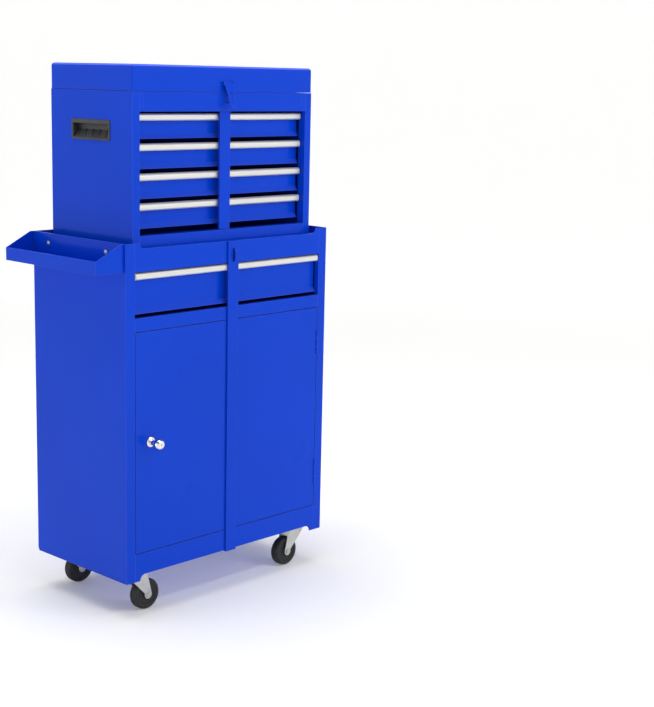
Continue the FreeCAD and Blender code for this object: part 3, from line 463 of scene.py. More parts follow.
def black_coat():
    """Thin black coat on the drawer slides, with a rubbed sheen where they run."""
    graph = Graph("black_coat")
    base = tuple(colours().black_steel)
    run = graph.noise(1.0, 3.0, 0.6, graph.scaled((900.0, 12.0, 900.0)))
    tone = graph.blend(graph.steps(run, 0.45, 0.8) * 0.6, base, (0.11, 0.11, 0.11))
    return graph.finish(
        Base_Color=tone, Metallic=0.35, Roughness=run * 0.2 + 0.28,
        Normal=graph.bump(run, 0.04 * MM, 0.5),
    )


FINISHES = {
    "blue_steel": powder_coat,
    "lid_paint_with_highlight": lid_paint_with_highlight,
    "handle_aluminium": satin_aluminium,
    "zinc": zinc_plate,
    "chrome": chrome,
    "wheel_rubber": wheel_rubber,
    "mat_rubber": mat_rubber,
    "black_plastic": black_plastic,
    "black_steel": black_coat,
    "grey_plastic": grey_plastic,
}
MADE = {}


def finish_of(slot):
    if slot not in MADE:
        MADE[slot] = FINISHES[slot]()
    return MADE[slot]


# ---- mesh helpers ----


def piece(name, mesh, body, slot, stands_for=(), finish=None):
    """Links a new piece, with its finish and the body that it rides on."""
    item = bpy.data.objects.new(name, mesh)
    bpy.context.scene.collection.objects.link(item)
    mesh.materials.clear()
    mesh.materials.append(finish_of(finish or slot))
    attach(item, body)
    if stands_for:
        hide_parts(*stands_for)
    return item


def closed(work, name):
    """A mesh from a bmesh, with its faces turned outward."""
    bmesh.ops.remove_doubles(work, verts=work.verts, dist=WELD)
    bmesh.ops.recalc_face_normals(work, faces=work.faces)
    mesh = bpy.data.meshes.new(name)
    work.to_mesh(mesh)
    work.free()
    return mesh


def rounded(item, width, segments=2, angle=32.0):
    """Rounds the sharp edges, leaving the mesh itself alone."""
    bevel = item.modifiers.new("soft edges", "BEVEL")
    bevel.width = width
    bevel.segments = segments
    bevel.limit_method = "ANGLE"
    bevel.angle_limit = math.radians(angle)
    return item


def softened(item, width, segments=2, angle=32.0):
    """Rounds the sharp edges of a new piece and shades the rest smoothly."""
    return smoothed(rounded(item, width, segments, angle), angle)


def smoothed(item, angle=32.0):
    """Shades a new piece smoothly, apart from its sharp edges."""
    for face in item.data.polygons:
        face.use_smooth = True
    item.data.set_sharp_from_angle(angle=math.radians(angle))
    weighted = item.modifiers.new("even shading", "WEIGHTED_NORMAL")
    weighted.keep_sharp = True
    weighted.weight = 60
    return item


def circle(radius, count):
    """Points evenly round a circle, or a single one if it has no radius."""
    if radius < SAME_PLACE:
        return [(0.0, 0.0)]
    turns = [2 * math.pi * step / count for step in range(count)]
    return [(radius * math.cos(turn), radius * math.sin(turn)) for turn in turns]


def lathe(work, outline, axis, centre, steps):
    """Turns an outline of (distance along the axis, radius) about one axis through a centre."""
    order = {"x": (0, 1, 2), "y": (2, 0, 1), "z": (1, 2, 0)}[axis]
    rings = []
    for along, radius in outline:
        corners = [(along, u, v) for u, v in circle(radius, steps)]
        rings.append([work.verts.new(Vector([corner[k] for k in order]) + centre)
                      for corner in corners])
    for near, far in zip(rings, rings[1:]):
        skin_between(work, near, far)
    return rings


def skin_between(work, near, far):
    """Faces between two rings, either of which may be a single point."""
    count = max(len(near), len(far))
    if count == 1:
        return
    for index in range(count):
        after = (index + 1) % count
        corners = [near[index % len(near)], near[after % len(near)],
                   far[after % len(far)], far[index % len(far)]]
        unique = list(dict.fromkeys(corners))
        if len(unique) > 2:
            work.faces.new(unique)


def rounded_outline(half_u, half_v, radius, steps=6):
    """Points of a rectangle with round corners, counter-clockwise."""
    points = []
    for sign_u, sign_v, start in ((1, 1, 0), (-1, 1, 90), (-1, -1, 180), (1, -1, 270)):
        for step in range(steps + 1):
            turn = math.radians(start + 90 * step / steps)
            points.append((
                sign_u * (half_u - radius) + radius * math.cos(turn),
                sign_v * (half_v - radius) + radius * math.sin(turn),
            ))
    return points


def ring_of(work, points, place):
    """A ring of vertices from flat points and a function that places them."""
    return [work.verts.new(place(u, v)) for u, v in points]


def prism(work, outline, place, near, far):
    """Extrudes a flat outline between two depths."""
    front = ring_of(work, outline, lambda u, v: place(u, v, near))
    back = ring_of(work, outline, lambda u, v: place(u, v, far))
    skin_between(work, front, back)
    work.faces.new(front)
    work.faces.new(list(reversed(back)))


def arc(centre_u, centre_v, radius, start, end, steps):
    """Points along a circle, from one angle to another, in degrees."""
    return [
        (centre_u + radius * math.cos(math.radians(start + (end - start) * step / steps)),
         centre_v + radius * math.sin(math.radians(start + (end - start) * step / steps)))
        for step in range(steps + 1)
    ]


def cube(work, low, high):
    """A block, as part of a larger piece."""
    middle, size = (low + high) / 2, high - low
    made = bmesh.ops.create_cube(work, size=1.0)
    bmesh.ops.scale(work, vec=size, verts=made["verts"])
    bmesh.ops.translate(work, vec=middle, verts=made["verts"])


# ---- painted sheet steel ----

# Finishes of the carried-over nodes that aren't painted.
KEPT = {
    "zinc": ("caster_plates",),
    "chrome": ("door_hooks",),
    "black_steel": ("lower_slide_outers", "lower_slide_inners", "lower_slide_middles",
                    "upper_slide_outers", *(f"drawer_{n}_slides" for n in range(1, 5))),
}
# Nodes whose own curves are too fine for rounded edges.
FINE_CURVES = ("door_hooks", "lid_hinge_fixed", "lid_hinge_moving", "door_hinge_frames",
               "door_hinge_leaves", "door_pegboard")
# Nodes that a new piece stands for.
REPLACED = (
    "worktop_mat", "cabinet_fasteners", "door_knob", "side_grips", "lid_shell",
    *(f"{name}_handle" for name in DRAWERS),
    *(f"{part}_{name}" for name in CASTERS for part in ("fork", "wheel")),
    "brake_front_left", "brake_front_right",
)


def dress_frame():
    """Gives every carried-over sheet its finish and rounded edges."""
    plain = {node: slot for slot, nodes in KEPT.items() for node in nodes}
    for name, item in NODES.items():
        if name in REPLACED:
            continue
        slot = plain.get(name, "blue_steel")
        item.data.materials.clear()
        item.data.materials.append(finish_of(slot))
        if name not in FINE_CURVES:
            rounded(item, sizes().sheet_round)


def fascia_seams():
    """Upright welded seams near the ends of the top chest's front."""
    low, high, middle = span("chest_fascia")
    from_middle, foot_gap, head_gap = 212 * MM, 8 * MM, 1.5 * MM
    half, proud, sunk = sizes().seam_width / 2, 0.12 * MM, 0.3 * MM
    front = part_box("chest_rail")[0].y
    outline = [(-half, 0.0), (-half * 0.5, -proud), (half * 0.5, -proud), (half, 0.0),
               (half, sunk), (-half, sunk)]
    work = bmesh.new()
    for side in (-1, 1):
        x = middle.x + side * from_middle
        prism(work, outline, lambda u, v, w: Vector((x + u, front + v, w)),
              low.z + foot_gap, high.z - head_gap)
    seams = piece("fascia_seams", closed(work, "fascia_seams"), "top_chest", "blue_steel")
    return smoothed(seams)


def lid_cover():
    """Folded lid: rolled top edges, tight corners, and a plate welded into each end."""
    low, high, middle = span("lid_shell")
    ply, roll, corner, least = 0.9 * MM, 6.0 * MM, 3.0 * MM, 0.5 * MM
    half_x, half_y = (high.x - low.x) / 2, (high.y - low.y) / 2
    work = bmesh.new()

    def loop(inset, z):
        points = rounded_outline(half_x - inset, half_y - inset, max(corner - inset, least))
        return ring_of(work, points, lambda u, v: Vector((middle.x + u, middle.y + v, z)))

    turns = [math.radians(15 * step) for step in range(7)]
    outer = [loop(0.0, low.z)]
    outer += [loop(roll * (1 - math.cos(turn)), high.z - roll * (1 - math.sin(turn)))
              for turn in turns]
    inner = [loop(ply, low.z)]
    inner += [loop(ply + (roll - ply) * (1 - math.cos(turn)),
                   high.z - ply - (roll - ply) * (1 - math.sin(turn))) for turn in turns]
    for rings in (outer, inner):
        for near, far in zip(rings, rings[1:]):
            skin_between(work, near, far)
        work.faces.new(rings[-1])
    skin_between(work, outer[0], inner[0])
    cover = piece("lid_cover", closed(work, "lid"), "lid", "blue_steel", ["lid_shell"],
                  finish="lid_paint_with_highlight")
    work = bmesh.new()
    margin, edge, proud, sunk, gap = 5.0 * MM, 8.0 * MM, 0.4 * MM, 0.3 * MM, 1.0 * MM
    plate_corner = 5.0 * MM
    tall, deep = (high.z - low.z - edge - gap) / 2, half_y - margin
    for x, out in ((low.x, -1), (high.x, 1)):
        prism(work, rounded_outline(deep, tall, plate_corner),
              lambda u, v, w: Vector((w, middle.y + u, low.z + gap + tall + v)),
              x - out * sunk, x + out * proud)
    plates = piece("lid_end_plates", closed(work, "end plates"), "lid", "blue_steel")
    return smoothed(cover), softened(plates, 0.25 * MM)


# ---- handles ----


def handle_outline(depth, height):
    """Section of the handle: round nose, flat top with a groove, hooked back over the front."""
    nose, wall, half = height * 0.42, 2.0 * MM, height / 2
    rear, fore, bottom = depth * 0.72, depth * 0.60, half - 0.45 * MM
    groove = [(rear, half), (rear, bottom), (fore, bottom), (fore, half)]
    outer = [(depth, half), *groove, *arc(nose, half - nose, nose, 90, 160, 8),
             *arc(nose, -half + nose, nose, 200, 270, 8), (depth, -half)]
    inner = [(depth, -half + wall), (nose + wall, -half + wall), (nose, -half + 2 * wall),
             (nose, half - 2 * wall), (nose + wall, half - wall), (depth, half - wall)]
    return outer + inner


def handle(name):
    """One extruded handle with its two moulded end caps."""
    low, high, middle = span(f"{name}_handle")
    depth, height = high.y - low.y, high.z - low.z
    cap, gap = 3.2 * MM, 0.02 * MM
    outline = handle_outline(depth, height)

    def place(u, v, w):
        return Vector((w, low.y + u, middle.z + v))

    work = bmesh.new()
    prism(work, outline, place, low.x + cap, high.x - cap)
    body = BODY_OF[f"{name}_handle"]
    bar = piece(f"{name}_handle_bar", closed(work, "handle"), body, "handle_aluminium",
                [f"{name}_handle"])
    softened(bar, 0.25 * MM)
    work = bmesh.new()
    filled = outline[:-6]  # without the six points of the hollow
    prism(work, filled, place, low.x, low.x + cap - gap)
    prism(work, filled, place, high.x - cap + gap, high.x)
    caps = piece(f"{name}_handle_caps", closed(work, "caps"), body, "handle_aluminium",
                 finish="grey_plastic")
    return bar, softened(caps, 0.9 * MM, 3)


# ---- drawer slides ----


def slide_rivets(name):
    """Rivet heads on the slide members of one drawer."""
    node = "lower_slide_inners" if name == "lower_drawer" else f"{name}_slides"
    low, high, middle = span(node)
    inset, lift, front_gap, end_gaps = 8 * MM, 1.2 * MM, 30 * MM, 40 * MM
    along_slide = (0.10, 0.38, 0.66, 0.94)
    head = ((1.0, 0.0), (0.9, 1.4), (0.4, 2.4), (0.0, 2.6), (-0.2, 0.0))
    work = bmesh.new()
    for side in (-1, 1):
        x = (high.x if side > 0 else low.x) - side * inset
        for share in along_slide:
            y = low.y + front_gap + (high.y - low.y - end_gaps) * share
            lathe(work, [(side * out * MM, radius * MM) for out, radius in head],
                  "x", Vector((x + side * lift, y, middle.z)), 20)
    rivets = piece(f"{name}_rivets", closed(work, "rivets"), BODY_OF[node], "black_steel",
                   finish="zinc")
    return smoothed(rivets)


# ---- mat ----


def ribbed_mat():
    """Rubber mat with fine ribs from side to side and a plain hem."""
    low, high, middle = span("worktop_mat")
    pitch, rise = sizes().rib_pitch, sizes().rib_height
    base, hem = high.z - rise, 5 * MM
    count = int((high.y - low.y - 2 * hem) / pitch)
    start = middle.y - count * pitch / 2
    rib = ((0.18, base), (0.34, high.z), (0.66, high.z), (0.82, base))
    profile = [(low.y, low.z), (low.y, base)]
    for index in range(count):
        y = start + index * pitch
        profile += [(y + pitch * share, z) for share, z in rib]
    profile += [(high.y, base), (high.y, low.z)]
    work = bmesh.new()
    near = ring_of(work, profile, lambda u, v: Vector((low.x, u, v)))
    far = ring_of(work, profile, lambda u, v: Vector((high.x, u, v)))
    skin_between(work, near, far)
    work.faces.new(near)
    work.faces.new(list(reversed(far)))
    mat = piece("ribbed_mat", closed(work, "mat"), "cabinet", "mat_rubber", ["worktop_mat"])
    return smoothed(mat)


# ---- grips ----


def grip(side, label):
    """Moulded carrying grip: sloped bezel, finger pocket and ribs on its lower slope."""
    low, high, _ = span("side_grips")
    casing_low, casing_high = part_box("chest_casing")
    wall = casing_high.x if side > 0 else casing_low.x
    face = high.x if side > 0 else low.x
    middle_y, middle_z = (low.y + high.y) / 2, (low.z + high.z) / 2
    half_y, half_z = (high.y - low.y) / 2, (high.z - low.z) / 2
    pocket, top_band, thin_band, end_band = 11.4 * MM, 9.0 * MM, 4.6 * MM, 5.4 * MM
    drop = (thin_band - top_band) / 2
    open_z = half_z - (top_band + thin_band) / 2
    open_y = half_y - end_band
    # Half width, half height, corner radius, lift and x of each ring, from the wall out and in.
    rings = (
        (half_y, half_z, 3.0, 0.0, wall + side * 0.02 * MM),
        (half_y - 0.2 * MM, half_z - 0.2 * MM, 2.8, 0.0, wall + side * 0.9 * MM),
        (half_y - 1.4 * MM, half_z - 1.4 * MM, 2.2, 0.0, face),
        (open_y + 1.0 * MM, open_z + 1.0 * MM, 2.0, drop, face - side * 0.3 * MM),
        (open_y, open_z, 1.8, drop, face - side * 1.6 * MM),
        (open_y - 0.6 * MM, open_z - 0.6 * MM, 1.6, drop, wall - side * pocket),
        (open_y + 0.3 * MM, open_z + 0.3 * MM, 1.8, drop, wall - side * (pocket + 1.2 * MM)),
        (open_y + 0.3 * MM, open_z + 0.3 * MM, 1.8, drop, wall + side * 0.02 * MM),
    )
    work = bmesh.new()
    loops = [
        ring_of(work, rounded_outline(ring_y, ring_z, radius * MM),
                lambda u, v: Vector((x, middle_y + u, middle_z + lift + v)))
        for ring_y, ring_z, radius, lift, x in rings
    ]
    for near, far in (*zip(loops[:5], loops[1:6]), (loops[6], loops[7]), (loops[7], loops[0])):
        skin_between(work, near, far)
    work.faces.new(loops[5])
    work.faces.new(loops[6])
    deep, lip = wall - side * (pocket - 0.1 * MM), face - side * 2.4 * MM
    foot = middle_z + drop - open_z
    inner_y = open_y - 0.8 * MM
    slope = [(deep, foot), (lip, foot), (lip - side * 3.0 * MM, foot + 3.0 * MM),
             (deep, foot + 15.0 * MM)]
    prism(work, slope, lambda u, v, w: Vector((u, w, v)), middle_y - inner_y, middle_y + inner_y)
    ribs, rib_half, lean, slope_rise = 5, 0.9 * MM, 5.0 * MM, 15.0 * MM
    for index in range(ribs):
        y = middle_y + (index - (ribs - 1) / 2) * 2 * inner_y / ribs
        rib = [(deep, foot + 14.0 * MM), (lip - side * 0.6 * MM, foot + 0.5 * MM),
               (lip - side * 2.2 * MM, foot + 4.2 * MM), (deep, foot + 17.4 * MM)]
        prism(work, rib, lambda u, v, w: Vector((u, w + lean * (v - foot) / slope_rise, v)),
              y - rib_half, y + rib_half)
    item = piece(f"grip_{label}", closed(work, "grip"), "top_chest", "black_plastic",
                 ["side_grips"])
    return softened(item, 0.35 * MM)


# ---- door knob ----


def door_knob():
    """Turned knob with a lock barrel in its face, a collar against the door, and the cam."""
    low, high, _ = span("door_knob")
    pivot = JOINTS["knob_turn"]["pos_m"]
    centre = Vector((pivot[0], low.y, pivot[2]))
    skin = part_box("door_skin")[0].y - low.y
    thick, half, barrel, collar = 2 * MM, 7 * MM, 7.9 * MM, 10.0 * MM
    outline = [(0.9, 0.0), (0.9, 3.4), (0.3, 3.6), (0.0, 4.6), (0.3, 6.6), (1.6, 8.6),
               (4.0, 10.2), (7.4, 11.0), (11.0, 11.0), (14.0, 10.2), (16.2, 8.6), (17.6, 6.8),
               (18.6, 5.6), (24.0, 5.2), (30.0, 5.2), (30.6, 5.5)]
    outline = [(along * MM, radius * MM) for along, radius in outline]
    outline += [(skin - 3.0 * MM, 9.6 * MM), (skin - 2.6 * MM, collar),
                (skin - 0.4 * MM, collar), (skin - 0.32 * MM, barrel),
                (high.y - low.y - thick, barrel), (high.y - low.y - thick, 0.0)]
    work = bmesh.new()
    lathe(work, outline, "y", centre, 72)
    knob = piece("knob", closed(work, "knob"), "knob", "chrome", ["door_knob"])
    smoothed(knob)
    slot_x, slot_z = 0.6 * MM, 1.9 * MM
    slot = [(-slot_x, -slot_z), (slot_x, -slot_z), (slot_x, slot_z), (-slot_x, slot_z)]
    work = bmesh.new()
    prism(work, slot, lambda u, v, w: centre + Vector((u, w, v)), 0.75 * MM, 0.95 * MM)
    keyway = piece("knob_keyway", closed(work, "keyway"), "knob", "chrome", finish="black_steel")
    work = bmesh.new()
    foot = low.z + half
    cam = [*arc(0.0, foot - centre.z, half, 180, 360, 12), *arc(0.0, 0.0, half, 0, 180, 12)]
    prism(work, cam, lambda u, v, w: Vector((centre.x + u, w, centre.z + v)),
          high.y - thick, high.y)
    lathe(work, [(0.0, 0.0), (0.0, 3.6 * MM), (0.5 * MM, 4.0 * MM), (0.6 * MM, 0.0)], "y",
          Vector((centre.x, high.y - 0.6 * MM, centre.z)), 6)
    plate = piece("knob_cam", closed(work, "cam"), "knob", "chrome", finish="zinc")
    softened(plate, 0.3 * MM)
    return knob, keyway, plate


# ---- fasteners ----


def cross_screw(work, centre, out):
    """Pan head with a cross in its face, on a wall at left or right."""
    head, radius = 2.4 * MM, 4.5 * MM
    reach = head * 0.93
    near, far = sorted((out * reach, out * reach * 0.8))
    dome = [(head * (1 - (radius * share) ** 2 / radius ** 2 * 0.55) * out, radius * share)
            for share in (0.34, 0.5, 0.66, 0.8, 0.92, 1.0)]
    hollow = [(head * 0.45 * out, 0.0), (head * 0.5 * out, radius * 0.2)]
    lathe(work, [*hollow, *dome, (0.0, radius), (0.0, 0.0)], "x", centre, 32)
    for half_y, half_z in ((radius * 0.52, radius * 0.12), (radius * 0.12, radius * 0.52)):
        cube(work, centre + Vector((near, -half_y, -half_z)),
             centre + Vector((far, half_y, half_z)))


def hex_nut(work, foot, radius, height, stud, stud_radius):
    """Chamfered nut with the end of its bolt."""
    flat = [(radius * math.cos(math.radians(60 * k + 30)),
             radius * math.sin(math.radians(60 * k + 30))) for k in range(6)]
    rings = [
        ring_of(work, [(u * shrink, v * shrink) for u, v in flat],
                lambda u, v: foot + Vector((u, v, z)))
        for shrink, z in ((0.93, 0.0), (1.0, height * 0.15), (1.0, height * 0.8), (0.88, height))
    ]
    for near, far in zip(rings, rings[1:]):
        skin_between(work, near, far)
    work.faces.new(list(reversed(rings[0])))
    work.faces.new(rings[-1])
    outline, thread_pitch = [(0.0, 0.0)], 0.8 * MM
    turns = int(stud / thread_pitch)
    for index in range(turns):
        z = index * stud / turns
        outline += [(z, stud_radius), (z + stud / turns / 2, stud_radius * 0.86)]
    outline += [(stud, stud_radius * 0.8), (stud, 0.0)]
    lathe(work, outline, "z", foot, 16)


def cabinet_fasteners():
    """Two screws in the tray and the nuts of the sixteen plate bolts."""
    _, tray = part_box("side_tray")
    tray_ply, below_rim, screws = 1 * MM, 20 * MM, (58 * MM, 241 * MM)
    bolt_x, bolt_y = 21 * MM, 15 * MM
    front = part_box("cabinet_side_left")[0].y
    work = bmesh.new()
    for behind in screws:
        cross_screw(work, Vector((tray.x - tray_ply, front + behind, tray.z - below_rim)), -1)
    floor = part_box("cabinet_floor")[1].z
    for name in CASTERS:
        x, y, _ = JOINTS[f"swivel_{name}"]["pos_m"]
        for along in (-bolt_x, bolt_x):
            for across in (-bolt_y, bolt_y):
                hex_nut(work, Vector((x + along, y + across, floor)), 4.5 * MM, 4 * MM,
                        10 * MM, 2.5 * MM)
    item = piece("tray_screws_and_nuts", closed(work, "fasteners"), "cabinet", "zinc",
                 ["cabinet_fasteners"])
    return smoothed(item)


# ---- casters ----


def wheel_outline(half, radius, bore):
    """Half section of the moulded wheel, from the bore out to the tread."""
    side = [(half, bore), (half, 8.5 * MM), (half - 0.6 * MM, 9.6 * MM),
            (half - 2.2 * MM, 10.6 * MM), (half - 2.4 * MM, 14.0 * MM),
            (half - 2.0 * MM, radius - 12.5 * MM), (half - 1.4 * MM, radius - 12.0 * MM),
            (half - 1.5 * MM, radius - 9.0 * MM), (half - 0.3 * MM, radius - 8.0 * MM),
            (half, radius - 6.5 * MM), (half - 0.2 * MM, radius - 4.2 * MM),
            (half - 1.3 * MM, radius - 1.8 * MM), (half - 3.2 * MM, radius - 0.5 * MM),
            (half - 5.0 * MM, radius)]
    lines = sizes().tread_lines
    tread, wide = [], 2 * (half - 5.0 * MM)
    for index in range(lines):
        middle = wide / 2 - wide * (index + 1) / (lines + 1)
        tread += [(middle + 0.45 * MM, radius), (middle + 0.25 * MM, radius - 0.5 * MM),
                  (middle - 0.25 * MM, radius - 0.5 * MM), (middle - 0.45 * MM, radius)]
    return side + tread + [(-along, out) for along, out in reversed(side)]


def wheel(name):
    """One moulded rubber wheel with a stepped face and fine tread lines."""
    low, high, middle = span(f"wheel_{name}")
    outline = wheel_outline((high.y - low.y) / 2, (high.z - low.z) / 2, 3.05 * MM)
    work = bmesh.new()
    rings = lathe(work, outline, "y", middle, 96)
    skin_between(work, rings[-1], rings[0])
    item = piece(f"wheel_{name}_tyre", closed(work, "tyre"), f"wheel_{name}", "wheel_rubber",
                 [f"wheel_{name}"])
    return smoothed(item, 40)


def fork_leg(axle, swivel_x, top_z):
    """Outline of a leg: it flares on the side away from the axle and ends round about it."""
    axle_x, axle_z = axle
    trail = 1 if axle_x > swivel_x else -1
    boss, crown_end, crown_edge = 8.8 * MM, 22 * MM, 3.5 * MM
    flared = [(17, 0.0), (20, -2.5), (21, -6.0), (17, -14.0)]
    outer = [(swivel_x - trail * across * MM, top_z + drop * MM) for across, drop in flared]
    end = [(axle_x - trail * (x - axle_x), z)
           for x, z in arc(axle_x, axle_z, boss, 20, -200, 22)]
    inner = [(swivel_x + trail * crown_end, top_z - crown_edge),
             (swivel_x + trail * crown_end, top_z)]
    return [*outer, *end, *inner]


def fork(name):
    """Pressed fork: two legs, a round crown with a plate through it, and the axle."""
    top = span(f"fork_{name}")[1].z
    swivel = JOINTS[f"swivel_{name}"]["pos_m"]
    axle = JOINTS[f"spin_{name}"]["pos_m"]
    wheel_low, wheel_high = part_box(f"wheel_{name}")
    inner = (wheel_high.y - wheel_low.y) / 2 + 1.4 * MM
    thick, body = 2.2 * MM, f"swivel_{name}"
    work = bmesh.new()
    outline = fork_leg((axle[0], axle[2]), swivel[0], top)
    for side in (-1, 1):
        near, far = axle[1] + side * inner, axle[1] + side * (inner + thick)
        prism(work, outline, lambda u, v, w: Vector((u, w, v)), near, far)
    item = piece(f"fork_{name}_legs", closed(work, "legs"), body, "zinc", [f"fork_{name}"])
    softened(item, 0.7 * MM, 3)
    crown_low, bore, across = top - 4 * MM, 4.1 * MM, inner + thick
    centre = Vector((swivel[0], swivel[1], 0.0))
    work = bmesh.new()
    rings = lathe(work, [(crown_low, bore), (crown_low, 16.5 * MM),
                         (crown_low + 0.8 * MM, 17.6 * MM), (top - 0.9 * MM, 18 * MM),
                         (top, 16.6 * MM), (top, bore)], "z", centre, 64)
    skin_between(work, rings[-1], rings[0])
    plate = rounded_outline(17 * MM, across - 0.1 * MM, 3 * MM)
    hole = circle(bore, len(plate))
    hole = hole[3:] + hole[:3]  # starts where the plate's outline does
    corners = [
        ring_of(work, points, lambda u, v: centre + Vector((u, v, z)))
        for points, z in ((plate, top - 0.5 * MM), (plate, crown_low + 0.4 * MM),
                          (hole, crown_low + 0.4 * MM), (hole, top - 0.5 * MM))
    ]
    for near, far in zip(corners, corners[1:] + corners[:1]):
        skin_between(work, near, far)
    crown = piece(f"fork_{name}_crown", closed(work, "crown"), body, "zinc")
    softened(crown, 0.3 * MM)
    return item, crown, axle_bolt(name, axle, inner + thick, body)


def axle_bolt(name, axle, reach, body):
    """Riveted axle with the same stepped head at both ends."""
    centre = Vector(axle)
    work = bmesh.new()
    head = [(reach + 3.0 * MM, 0.0), (reach + 2.9 * MM, 1.4 * MM), (reach + 2.2 * MM, 1.9 * MM),
            (reach + 2.1 * MM, 2.9 * MM), (reach + 2.6 * MM, 3.3 * MM),
            (reach + 2.2 * MM, 4.6 * MM), (reach + 1.0 * MM, 5.2 * MM), (reach, 5.2 * MM),
            (reach, 2.9 * MM)]
    outline = [(-along, radius) for along, radius in head] + list(reversed(head))
    lathe(work, outline, "y", centre, 40)
    return smoothed(piece(f"axle_{name}", closed(work, "axle"), body, "zinc"), 30)


def brake(name):
    """Foot tab of the brake: a pressed lever with ridges, on its pin between two lugs."""
    low, high, _ = span(f"brake_{name}")
    joint = JOINTS[f"press_brake_{name}"]
    pivot, side = Vector(joint["pos_m"]), 1 if joint["axis"][1] > 0 else -1
    tip = high.x if side > 0 else low.x
    reach, half, ridge, ridge_half = abs(tip - pivot.x), 9 * MM, 0.4 * MM, 6 * MM
    work = bmesh.new()
    outline = [(0.0, -0.8), (0.0, 0.8), (0.55, 0.8), (0.72, 0.2), (0.92, 0.55), (1.0, 0.2),
               (0.97, -0.7), (0.7, -0.8)]
    outline = [(side * share * reach, height * MM) for share, height in outline]
    prism(work, outline, lambda u, v, w: pivot + Vector((u, w, v)), -half, half)
    for index in range(3):
        u = side * reach * (0.30 + 0.1 * index)
        cube(work, pivot + Vector((u - ridge, -ridge_half, 0.7 * MM)),
             pivot + Vector((u + ridge, ridge_half, 1.1 * MM)))
    lathe(work, [(-13 * MM, 0.0), (-13 * MM, 1.5 * MM), (-9.9 * MM, 1.5 * MM),
                 (-9.8 * MM, 2.6 * MM), (9.8 * MM, 2.6 * MM), (9.9 * MM, 1.5 * MM),
                 (13 * MM, 1.5 * MM), (13 * MM, 0.0)], "y", pivot, 28)
    item = piece(f"brake_{name}_tab", closed(work, "tab"), f"brake_{name}", "zinc",
                 [f"brake_{name}"])
    softened(item, 0.25 * MM)
    lug = [(-5.0, 1.0), (-5.0, -3.0), (0.0, -3.2), (2.4, -1.6), (2.8, 0.6), (2.0, 1.0)]
    lug = [(side * u * MM, v * MM) for u, v in lug]
    lug_near, lug_thick = 10.7 * MM, 2.2 * MM
    work = bmesh.new()
    for lateral in (-1, 1):
        near = lateral * lug_near
        prism(work, lug, lambda u, v, w: pivot + Vector((u, w, v)), near,
              near + lateral * lug_thick)
    lugs = piece(f"brake_{name}_lugs", closed(work, "lugs"), f"swivel_{name}", "zinc")
    return item, softened(lugs, 0.25 * MM)


# ---- stage ----


def stage_floor():
    """Pale floor that curves up far behind the chest."""
    flat, bend, steps = 5.0, 7.0, 72
    section = [(0.0, 0.0), (flat * 0.5, 0.0), *arc(flat, bend, bend, -90, -8, 24)]
    work = bmesh.new()
    lathe(work, [(rise, radius) for radius, rise in section], "z", Vector(), steps)
    mesh = closed(work, "floor")
    floor = bpy.data.objects.new("floor", mesh)
    bpy.context.scene.collection.objects.link(floor)
    graph = Graph("studio_floor")
    base = tuple(stage_settings().floor)
    mottle = graph.noise(1.5, 2.0)
    away = graph.add("ShaderNodeVectorMath", {"operation": "LENGTH"}, {0: graph.place()})["Value"]
    near, far = stage_settings().near_glow, stage_settings().far_glow
    glow = graph.ramp(graph.steps(away, 0.5, 4.5), (0.0, (near,) * 3), (1.0, (far,) * 3))
    mesh.materials.append(graph.finish(
        Base_Color=graph.blend(mottle, shade(base, 0.995), shade(base, 1.005)), Roughness=0.85,
        Emission_Color=glow, Emission_Strength=1.0,
    ))
    for face in mesh.polygons:
        face.use_smooth = True
    return floor


def stage_camera():
    """Camera at the chest's front left corner."""
    chosen = stage_settings()
    data = bpy.data.cameras.new("camera")
    data.sensor_width, data.lens = 36.0, chosen.lens
    data.clip_start, data.clip_end = 0.05, 60.0
    camera = bpy.data.objects.new("camera", data)
    heading, pitch, roll = chosen.heading, chosen.pitch, chosen.roll
    forward = Vector((math.sin(heading) * math.cos(pitch), math.cos(heading) * math.cos(pitch),
                      -math.sin(pitch)))
    right = Vector((math.cos(heading), -math.sin(heading), 0.0))
    upward = right.cross(forward)
    turned_right = math.cos(roll) * right + math.sin(roll) * upward
    turned_up = -math.sin(roll) * right + math.cos(roll) * upward
    axes = Matrix((turned_right, turned_up, -forward)).transposed().to_4x4()
    camera.matrix_world = Matrix.Translation(Vector(chosen.camera_place)) @ axes
    bpy.context.scene.collection.objects.link(camera)
    bpy.context.scene.camera = camera
    return camera


def soft_light(name, place, target, size, power):
    """A large oblong light aimed at a point."""
    data = bpy.data.lights.new(name, "AREA")
    data.shape, data.size, data.size_y = "RECTANGLE", size[0], size[1]
    data.energy = power
    lamp = bpy.data.objects.new(name, data)
    lamp.location = place
    aim = Vector(target) - Vector(place)
    lamp.rotation_euler = aim.to_track_quat("-Z", "Y").to_euler()
    bpy.context.scene.collection.objects.link(lamp)
    return lamp


def stage_lights():
    """Key from the front right, overhead, a strip over the front, a low side light and a fill."""
    world = bpy.data.worlds.new("studio")
    world.use_nodes = True
    fill = world.node_tree.nodes["Background"].inputs
    fill["Color"].default_value = (1.0, 1.0, 1.0, 1.0)
    fill["Strength"].default_value = stage_settings().sky
    bpy.context.scene.world = world
    chest = (0.0, 0.0, 0.55)
    soft_light("key", (1.5, -3.2, 2.0), chest, (1.1, 1.5), 24)
    soft_light("overhead", (-0.2, 0.3, 3.0), chest, (2.2, 2.2), 60)
    soft_light("strip", (0.3, -2.0, 2.7), (0.0, 0.0, 0.9), (2.4, 0.10), 16)
    soft_light("side", (-3.0, 0.6, 0.35), (-0.3, 0.0, 0.25), (1.6, 0.6), 7)
    bpy.context.scene.view_settings.view_transform = "Standard"


# ---- operators ----


